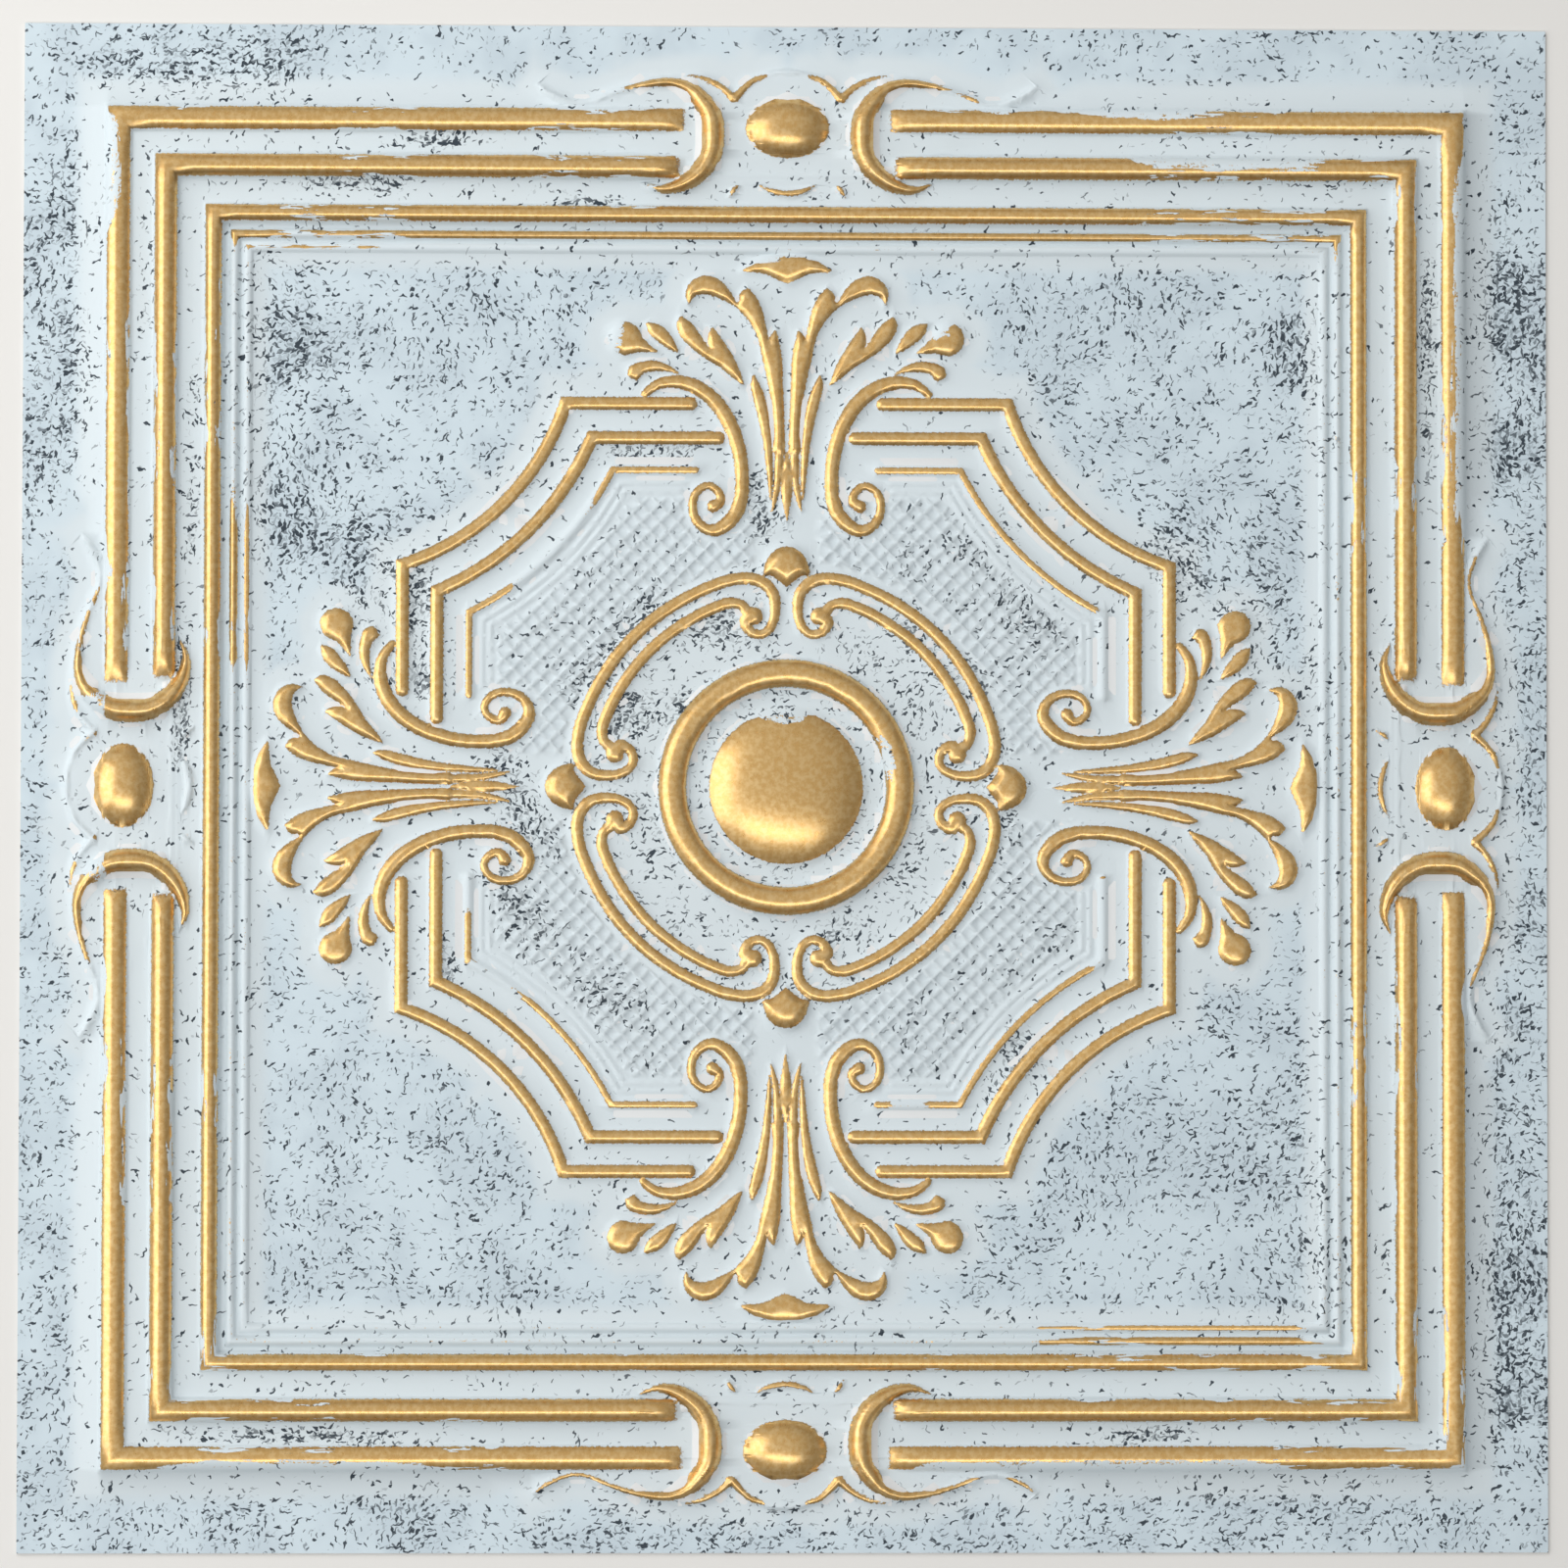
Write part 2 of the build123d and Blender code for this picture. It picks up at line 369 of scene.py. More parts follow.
@dataclass(frozen=True)
class FrameMouldings:
    """The square frame: three rails with coves between them, and two thin beads inside."""

    rails: tuple[Rail, ...] = (
        Rail(264.0, 5.2, 1.6, 5.0, 37.0, Gilding.EDGED),
        Rail(245.2, 4.6, 3.2, 7.0, 39.0),
        Rail(226.5, 3.4, 2.4, 5.2, 0.0),
        Rail(218.2, 2.0, 0.3, 2.4, 0.0),
        Rail(213.0, 1.9, 0.2, 1.7, 0.0, Gilding.EDGED),
    )
    cove_high: float = 2.2
    cove_dip: float = 0.8
    cove_gap: float = 30.0
    cove_short: float = 2.3
    cove_rows: tuple[float, ...] = (
        229.96, 231.6, 235.0, 238.2, 240.31, 250.09, 252.2, 254.6, 257.0, 259.1
    )

    def lay(self, plan: Plan, layer: Layer) -> None:
        """Adds the rails and the coves to a layer.

        Args:
            plan: The points.
            layer: What is at them so far.
        """
        outer, middle, inner = self.rails[:3]
        outer_cove = (middle.at, outer.at, self.cove_gap)
        inner_cove = (inner.at, middle.at - self.cove_short, 0.0)
        for start, end, first in (outer_cove, inner_cove):
            share = (plan.b - (start + end) / 2) / ((end - start) / 2)
            cove = self.cove_high - self.cove_dip * np.clip(1 - share**2, 0, 1)
            cove = np.where((np.abs(share) <= 1) & (plan.a >= first), cove, 0.0)
            layer.raise_by(Layer(cove, np.full_like(cove, -FAR), np.full_like(cove, -FAR)))
        for rail in self.rails:
            rail.lay(plan, layer)

    def stations(self) -> list[float]:
        """Distances from the centre at which the sheet has rows of points, in order."""
        rows = {round(row, 3) for rail in self.rails for row in rail.stations()}
        return sorted(rows | set(self.cove_rows))


@dataclass(frozen=True)
class Cartouche:
    """The egg in the middle of each side, the crescents that hold the rails, and their tendrils."""

    egg_at: float = 261.2
    egg_long: float = 17.0
    egg_short: float = 12.6
    egg_high: float = 8.0
    crescent_high: float = 7.8
    ground_high: float = 1.8

    def forms(self) -> tuple[Stroke | Lobe, ...]:
        """The beads and raised patches round the egg."""
        ground = Lobe(
            (
                ((-6, 283.2), (0, 283.6), (10, 282.2), (15.5, 279.6), (21.2, 273.0)),
                ((21.2, 273.0), (25, 277.4), (30, 280.6), (36, 282.2), (44, 281.8)),
                ((44, 281.8), (52, 280.9), (60, 279.2), (70, 275.8), (78, 272.2), (85, 272.0)),
                ((85, 272.0), (92, 274.6), (99, 278.2)),
                ((99, 278.2), (97, 274.6), (91, 270.6), (84, 266.0)),
                ((84, 266.0), (40, 240.0), (-6, 238.0)),
                ((-6, 238.0), (-6, 283.2)),
            ),
            self.ground_high,
            2.6,
            Gilding.BARE,
        )
        crescent = Stroke(
            (
                (68, 274.9, 0.8),
                (60, 277.4, 1.3),
                (53, 278.7, 1.7),
                (45, 278.8, 2.1),
                (39, 276.6, 2.9),
                (33.8, 271.4, 4.0),
                (30.3, 265.2, 4.7),
                (29.6, 258.0, 4.9),
                (30.3, 250.9, 4.6),
                (33.3, 245.2, 4.3),
                (38.0, 240.8, 3.8),
                (44.0, 237.6, 2.8),
                (50.0, 236.6, 1.8),
                (57.4, 239.0, 0.4),
            ),
            self.crescent_high,
        )
        tendril = Stroke(
            (
                (58, 278.2, 1.2),
                (64, 276.4, 1.1),
                (70, 274.2, 1.0),
                (75, 272.0, 0.9),
                (80, 270.6, 0.9),
                (85, 270.8, 0.9),
                (90, 272.6, 1.0),
                (95, 275.2, 0.9),
                (98, 277.6, 0.4),
            ),
            3.0,
        )
        wing_in = Stroke(
            ((8.5, 281.8, 0.9), (13, 280.3, 1.3), (17, 277.2, 1.5), (21.2, 272.4, 1.9)), 3.4
        )
        wing_out = Stroke(
            (
                (21.2, 272.4, 1.9),
                (24.5, 275.9, 1.5),
                (29, 278.9, 1.3),
                (34, 281.0, 1.0),
                (39, 282.0, 0.5),
            ),
            3.4,
        )
        arch = Stroke(((-4, 283.2, 1.0), (3, 283.2, 1.0), (9, 282.2, 0.8)), 2.5, Gilding.BARE)
        scallop = Stroke(
            ((-4, 235.2, 1.7), (4, 235.4, 1.7), (9, 237.2, 1.3), (13.2, 240.0, 0.4)),
            3.2,
            Gilding.EDGED,
        )
        tick = Stroke(((18.4, 239.6, 0.5), (21.2, 236.4, 1.5), (23.4, 232.6, 0.6)), 3.2, Gilding.EDGED)
        return (ground, crescent, tendril, wing_in, wing_out, arch, scallop, tick)

    def lay(self, plan: Plan, layer: Layer) -> None:
        """Adds the cartouche to a layer.

        Args:
            plan: The points.
            layer: What is at them so far.
        """
        for form in self.forms():
            form.lay(plan, layer)
        share = np.hypot(plan.a / self.egg_long, (plan.b - self.egg_at) / self.egg_short)
        egg = np.maximum(crown(share, self.egg_high, 0.62), crown(share / 1.2, 3.2, 1.4))
        reach = (1.15 - share) * self.egg_short
        gilt = (0.97 - share) * (self.egg_short + 1.5)
        layer.raise_by(Layer(egg, reach, gilt))


@dataclass(frozen=True)
class StarBead:
    """One bead of the star octagon."""

    at: float
    radius: float
    end: float
    half: float
    high: float
    gilding: Gilding


@dataclass(frozen=True)
class StarOctagon:
    """Three beads round the middle of the tile, with concave corners struck from one centre."""

    centre: float = 182.7
    beads: tuple[StarBead, ...] = (
        StarBead(151.6, 100.2, 38.0, 2.8, 2.4, Gilding.FULL),
        StarBead(138.0, 114.7, 27.0, 2.8, 2.6, Gilding.FULL),
        StarBead(125.3, 127.5, 36.0, 2.0, 1.7, Gilding.EDGED),
        StarBead(120.2, 132.6, 40.0, 1.0, 0.85, Gilding.BARE),
        StarBead(117.0, 135.8, 42.0, 1.0, 0.75, Gilding.BARE),
    )
    lattice_inset: float = 10.0

    def outside(self, plan: Plan, bead: StarBead) -> Array:
        """Distance of each point outside a bead's line, negative inside the star."""
        corner = bead.radius - np.hypot(plan.a - self.centre, plan.b - self.centre)
        return np.maximum(plan.b - bead.at, corner)

    def lay(self, plan: Plan, layer: Layer) -> None:
        """Adds the beads to a layer.

        Args:
            plan: The points.
            layer: What is at them so far.
        """
        for bead in self.beads:
            line = np.abs(self.outside(plan, bead))
            distance = np.hypot(line, np.clip(bead.end - plan.a, 0, None))
            reach = bead.half - distance
            height = skirted(reach, crown(distance / bead.half, bead.high, 0.75), bead.high)
            layer.raise_by(Layer(height, reach, reach - bead.gilding.value))

    def lattice_zone(self, plan: Plan) -> Array:
        """How far each point is inside the star's latticed ground."""
        return -self.outside(plan, self.beads[2]) - self.lattice_inset


@dataclass(frozen=True)
class Medallion:
    """The centre dome, the ring round it, and the four scrolled frames with a bud between them."""

    dome_radius: float = 32.0
    dome_high: float = 9.0
    ring_at: float = 45.0
    ring_half: float = 6.0
    ring_high: float = 5.6
    scroll_high: float = 2.8
    lattice_from: float = 89.5

    def forms(self) -> tuple[Stroke | Lobe, ...]:
        """The scrolled frames and the bud."""
        outer = Stroke(
            (
                (66.5, 52.3, 2.6),
                (59.8, 59.8, 2.6),
                (52.3, 66.5, 2.6),
                (44.0, 72.2, 2.6),
                (32.0, 78.3, 2.6),
                (20.0, 82.2, 2.6),
                (13.0, 82.2, 2.6),
                (7.6, 79.6, 2.6),
                (5.0, 75.6, 2.5),
                (4.4, 70.6, 2.3),
                (5.2, 65.4, 2.1),
                (7.6, 61.6, 2.0),
                (10.8, 60.2, 2.0),
                (14.6, 61.8, 2.2),
                (16.2, 65.4, 2.7),
                (13.0, 67.6, 3.8),
            ),
            self.scroll_high,
        )
        inner = Stroke(
            (
                (15.2, 68.6, 2.6),
                (17.6, 71.8, 2.2),
                (22.0, 72.8, 2.4),
                (28.0, 71.0, 2.5),
                (35.0, 67.8, 2.5),
                (42.0, 63.6, 2.5),
                (48.0, 59.2, 2.5),
                (53.9, 53.9, 2.5),
                (59.2, 48.0, 2.5),
            ),
            2.3,
        )
        bud = Lobe(
            (
                (
                    (-9.0, 84.2), (-7.6, 89.4), (-4.4, 93.4), (0, 94.8),
                    (4.4, 93.4), (7.6, 89.4), (9.0, 84.2),
                ),
                ((9.0, 84.2), (6.0, 84.0), (3.2, 82.0), (0, 79.6)),
                ((0, 79.6), (-3.2, 82.0), (-6.0, 84.0), (-9.0, 84.2)),
            ),
            4.5,
            6.0,
        )
        return (outer, inner, bud)

    def lay(self, plan: Plan, layer: Layer) -> None:
        """Adds the medallion to a layer.

        Args:
            plan: The points.
            layer: What is at them so far.
        """
        share = plan.r / self.dome_radius
        dome = np.maximum(crown(share, self.dome_high, 0.72), crown(share / 1.1, 2.6, 1.4))
        layer.raise_by(Layer(dome, 1.1 * self.dome_radius - plan.r, self.dome_radius - 1.6 - plan.r))
        across = np.abs(plan.r - self.ring_at)
        ring = crown(across / self.ring_half, self.ring_high, 0.58)
        layer.raise_by(Layer(ring, self.ring_half - across, self.ring_half - 0.5 - across))
        for form in self.forms():
            form.lay(plan, layer)


@dataclass(frozen=True)
class Acanthus:
    """The leaves over each side of the medallion, with their scrolled stems, flame and cap."""

    leaf_high: float = 2.8
    stem_high: float = 3.0
    sprig_high: float = 2.2

    def forms(self) -> tuple[Stroke | Lobe, ...]:
        """The leaves and stems to the right of the axis."""
        crown_leaf = Lobe(
            (
                ((1.0, 132), (1.4, 145), (2.0, 160), (2.4, 170), (4.5, 180.4)),
                ((4.5, 180.4), (6.2, 178.6), (7.2, 176.0)),
                ((7.2, 176.0), (8.5, 181), (9.7, 187), (12, 193), (15.5, 197.3)),
                ((15.5, 197.3), (18.2, 195.4), (19.3, 191.6), (20.3, 191.4)),
                (
                    (20.3, 191.4), (23, 196.2), (26, 199.7), (30, 201.8),
                    (34, 201.9), (37.8, 199.7), (39.8, 195.6), (39, 191.3),
                ),
                ((39, 191.3), (37.8, 193.7), (35, 195.3), (30, 195), (25, 193), (20, 190.2), (15, 185)),
                (
                    (15, 185), (12, 180), (9.5, 170), (7.2, 160),
                    (5.6, 150), (4.8, 140), (4.4, 132), (1.0, 132),
                ),
            ),
            self.leaf_high,
            3.0,
        )
        fork_leaf = Lobe(
            (
                ((17.2, 159.4), (20, 167), (24, 174), (29.5, 181.8)),
                ((29.5, 181.8), (31.2, 178), (30.4, 173)),
                ((30.4, 173), (34, 177.8), (38, 183.2), (42, 186.0)),
                (
                    (42, 186.0), (43.4, 183), (42.4, 179.6), (38, 174.4),
                    (32, 169.8), (26, 166.2), (21, 162.0), (17.2, 159.4),
                ),
            ),
            self.leaf_high,
            3.0,
        )
        small_leaf = Lobe(
            (
                ((43.2, 172.2), (46, 178), (50, 182.2), (55.4, 183.6)),
                ((55.4, 183.6), (54.4, 180), (50, 175.8), (46, 173.2), (43.2, 172.2)),
            ),
            self.sprig_high,
            2.4,
        )
        outer_leaf = Lobe(
            (
                (
                    (51.6, 172.2), (57, 177), (60, 182), (65, 183.6), (69.2, 180.7),
                    (69.8, 177), (67.4, 172.6), (65, 171.3), (60, 172.2), (51.6, 172.2),
                ),
            ),
            self.leaf_high,
            4.0,
        )
        low_leaf = Lobe(
            (
                (
                    (42.8, 163.6), (48, 167), (53, 168.3), (58, 167.7),
                    (62, 165.8), (62.6, 162.8), (59.5, 161.1),
                ),
                ((59.5, 161.1), (57, 163.8), (52, 164.8), (46, 164.5), (42.8, 163.6)),
            ),
            self.sprig_high,
            2.2,
        )
        blade = Lobe(
            (
                ((5.8, 124), (6.4, 138), (8, 150), (11.2, 159.4), (13.2, 162.8)),
                ((13.2, 162.8), (13.9, 160), (12.7, 153), (10.7, 145), (8.8, 135), (7.6, 125), (6.4, 114)),
                ((6.4, 114), (5.8, 124)),
            ),
            self.sprig_high,
            1.6,
        )
        flame = Lobe(
            (
                ((-1.6, 126), (0, 132.4), (1.6, 126), (2.1, 117), (0, 105.0)),
                ((0, 105.0), (-2.1, 117), (-1.6, 126)),
            ),
            self.sprig_high,
            2.2,
            swell=0.3,
        )
        foot = Stroke(
            ((2.9, 138, 2.0), (3.1, 128, 1.9), (3.7, 120, 1.6), (4.7, 114, 1.2), (6.0, 108.5, 0.4)), 2.2
        )
        cap = Lobe(
            (
                (
                    (-17.4, 204.3), (-14, 206.8), (-8, 209.6), (0, 210.7),
                    (8, 209.6), (14, 206.8), (17.4, 204.3),
                ),
                ((17.4, 204.3), (13, 204.2), (8, 203.5), (4, 201.5), (0, 199.8)),
                ((0, 199.8), (-4, 201.5), (-8, 203.5), (-13, 204.2), (-17.4, 204.3)),
            ),
            self.leaf_high,
            4.2,
        )
        stem = Stroke(
            (
                (56.2, 155.6, 1.7),
                (51.6, 159, 2.2),
                (45, 160.3, 2.7),
                (37, 158.6, 3.1),
                (30, 154, 3.2),
                (25, 148, 3.2),
                (21, 140, 3.1),
                (18.5, 131, 3.0),
                (17.7, 122, 2.9),
                (18, 115, 3.0),
                (20, 108.5, 3.1),
                (24, 103.8, 3.0),
                (29, 101.4, 2.6),
                (33.8, 103.2, 2.2),
                (36.8, 108, 2.0),
                (37.2, 112.5, 1.9),
                (35, 117.4, 1.8),
                (31, 119.2, 1.7),
                (27.2, 117, 1.8),
                (26.2, 113.0, 2.1),
                (29.0, 111.0, 2.7),
            ),
            self.stem_high,
        )
        return (crown_leaf, fork_leaf, small_leaf, outer_leaf, low_leaf, blade, flame, foot, cap, stem)

    def lay(self, plan: Plan, layer: Layer) -> None:
        """Adds the leaves to a layer.

        Args:
            plan: The points.
            layer: What is at them so far.
        """
        for form in self.forms():
            form.lay(plan, layer)


@dataclass(frozen=True)
class Lattice:
    """The fine square ribs, set at 45 degrees, on the ground of the star."""

    pitch: float = 5.1
    rib: float = 0.95
    high: float = 1.0
    axis_gap: float = 13.0
    form_gap: float = 1.5
    fade: float = 1.2

    def ribs(self, plan: Plan, zone: Array) -> Array:
        """Height of the ribs as a share of their crest.

        Args:
            plan: The points.
            zone: How far they are inside the latticed ground.

        Returns:
            The share at each point.
        """
        gaps = []
        for turned in (plan.a + plan.b, plan.b - plan.a):
            row = turned / math.sqrt(2) / self.pitch - 0.5
            gaps.append(np.abs(row - np.round(row)) * self.pitch)
        ribs = np.clip(1 - np.minimum(*gaps) / self.rib, 0, 1)
        return ribs * np.clip(zone / self.fade, 0, 1)

    def cuts(self, reach: float) -> list[float]:
        """Places across the ribs, out to a reach, at which the sheet has lines of points."""
        rows = np.arange(-1, math.ceil(reach / self.pitch)) + 0.5
        return [row * self.pitch + side * self.rib for row in rows for side in (-1, 0, 1)]


@dataclass(frozen=True)
class Ornament:
    """All the forms of the sheet."""

    mouldings: FrameMouldings = FrameMouldings()
    cartouche: Cartouche = Cartouche()
    star: StarOctagon = StarOctagon()
    medallion: Medallion = Medallion()
    acanthus: Acanthus = Acanthus()
    lattice: Lattice = Lattice()

    def layer(self, x: Array, y: Array) -> Layer:
        """Works out the forms at points of the tile.

        Args:
            x: Places across, in mm.
            y: Places up.

        Returns:
            Their heights, reaches and gilding.
        """
        plan = Plan(x, y)
        layer = Layer.flat(len(plan.a))
        for part in (self.mouldings, self.cartouche, self.star, self.medallion, self.acanthus):
            part.lay(plan, layer)
        zone = self.lattice_zone(plan, layer)
        layer.height += self.lattice.high * self.lattice.ribs(plan, zone)
        return layer

    def lattice_zone(self, plan: Plan, layer: Layer) -> Array:
        """How far points are inside the latticed ground.

        Args:
            plan: The points.
            layer: The forms at them.

        Returns:
            The distance in mm, negative outside.
        """
        zone = np.minimum(self.star.lattice_zone(plan), plan.r - self.medallion.lattice_from)
        zone = np.minimum(zone, plan.a - self.lattice.axis_gap)
        return np.minimum(zone, -layer.reach - self.lattice.form_gap)


@dataclass(frozen=True)
class WornPlace:
    """A stretch that is worn or grimy: a line and how far the wear reaches about it, in mm."""

    start: Point
    end: Point
    reach: float
    most: float = 1.0

    def share(self, x: Array, y: Array) -> Array:
        """How worn each point is, up to the most on the line itself."""
        distance, _ = nearest(x, y, np.array([self.start, self.end], float))
        return self.most * np.clip(1.5 - distance / self.reach, 0, 1)


WORN_PLACES = (
    WornPlace((-216, -216), (-216, 40), 4.5),
    WornPlace((-216, 122), (-216, 206), 4.5),
    WornPlace((216, -216), (216, 210), 4.5),
    WornPlace((-216, -216), (95, -216), 4.5),
    WornPlace((-150, 213), (216, 213), 2.4),
    WornPlace((-8, 31), (-1, 25), 3.2),
    WornPlace((-1, 25), (4, 31), 3.4),
    WornPlace((39, 21), (42, 6), 1.8),
    WornPlace((-283, 12), (-272, 32), 4.0),
    WornPlace((-283, -12), (-272, -32), 4.0),
    WornPlace((-236, -24), (-236, 24), 3.4),
    WornPlace((-100, 276), (-74, 272), 4.0),
    WornPlace((82, 271), (100, 276), 4.0),
    WornPlace((-272, -76), (-276, -100), 4.0),
    WornPlace((-271, 84), (-276, 100), 4.0),
    WornPlace((272, -84), (276, -100), 4.0),
    WornPlace((-11, 210), (-6, 210), 2.4),
    WornPlace((-69, 181), (-67, 178), 3.4),
    WornPlace((62, 182), (60, 179), 2.0),
    WornPlace((-267, 262), (-266, 226), 3.2),
    WornPlace((140, 247.5), (206, 246.5), 2.2),
    WornPlace((267, 240), (267, 110), 3.0),
    WornPlace((120, 268), (152, 267), 2.4),
    WornPlace((-232, -267), (-150, -268), 2.4),
    WornPlace((60, -268), (190, -267), 2.6),
    WornPlace((-81, 106), (-103, 80), 3.4),
    WornPlace((126, 66), (126, 38), 3.0),
    WornPlace((126, -40), (126, -70), 3.0),
    WornPlace((45, -125.5), (50, -125.5), 2.5),
    WornPlace((-122, -74), (-111, -80), 3.0),
    WornPlace((-126, -38), (-126, -46), 2.5),
)

GRIMY_PLACES = (
    WornPlace((-262, 291), (-248, 285), 12, 0.65),
    WornPlace((-228, 284), (-205, 281), 9),
    WornPlace((-291, 240), (-290, 120), 11, 0.5),
    WornPlace((-150, 256.5), (-132, 256.5), 3),
    WornPlace((-190, 239), (-150, 238), 2.6),
    WornPlace((-92, 232), (-65, 231), 2.4),
    WornPlace((-206, 196), (-190, 172), 12, 0.6),
    WornPlace((-206, 165), (-200, 95), 12, 0.6),
    WornPlace((-172, 108), (-165, 66), 14, 0.6),
    WornPlace((-252, 205), (-253, 186), 3),
    WornPlace((-235, 150), (-235, 96), 3),
    WornPlace((-238, 62), (-239, 10), 3),
    WornPlace((283, 222), (290, 130), 12, 0.6),
    WornPlace((291, 240), (291, -250), 10, 0.4),
    WornPlace((-250, -290), (260, -291), 9, 0.25),
    WornPlace((-180, 290), (290, 288), 11, -0.3),
    WornPlace((254, 205), (254, 130), 3),
    WornPlace((204, 184), (208, 140), 9, 0.7),
    WornPlace((170, 92), (204, 45), 14, 0.55),
    WornPlace((-84, 40), (-54, 72), 7, 0.8),
    WornPlace((-32, 62), (-24, 60), 8, 1.4),
    WornPlace((-70, 26), (-60, 30), 7),
    WornPlace((-44, 28), (-36, 30), 6, 0.8),
    WornPlace((18, 58), (34, 52), 6, 0.6),
    WornPlace((20, -60), (28, -56), 6, 0.8),
    WornPlace((84, 12), (86, -26), 6, 0.7),
    WornPlace((-13, 118), (-7, 104), 7),
    WornPlace((20, 116), (30, 104), 7),
    WornPlace((-112, 8), (-98, -24), 8),
    WornPlace((-152, 84), (-140, 72), 6),
    WornPlace((-160, 43), (-140, 40), 5),
    WornPlace((146, 100), (155, 82), 7),
    WornPlace((72, 96), (101, 63), 8, 0.55),
    WornPlace((50, 58), (74, 40), 7),
    WornPlace((-116, -32), (-100, -55), 7),
    WornPlace((-82, -74), (-62, -86), 7),
    WornPlace((92, -98), (102, -112), 6),
    WornPlace((195, -130), (210, -205), 12, 0.6),
    WornPlace((286, -190), (291, -245), 12, 0.6),
    WornPlace((-235, -254), (-180, -255.5), 3),
    WornPlace((-172, -256.5), (-146, -257), 3),
    WornPlace((126, -256), (152, -255), 3),
    WornPlace((-72, 132), (-38, 132), 3.6),
    WornPlace((-146, 82), (-146, 42), 3.6),
    WornPlace((-131, 58), (-131, 42), 3.4),
    WornPlace((-133, -58), (-132, -76), 3.6),
    WornPlace((82, -118), (92, -104), 4.5),
    WornPlace((86, 110), (92, 100), 3.6),
)


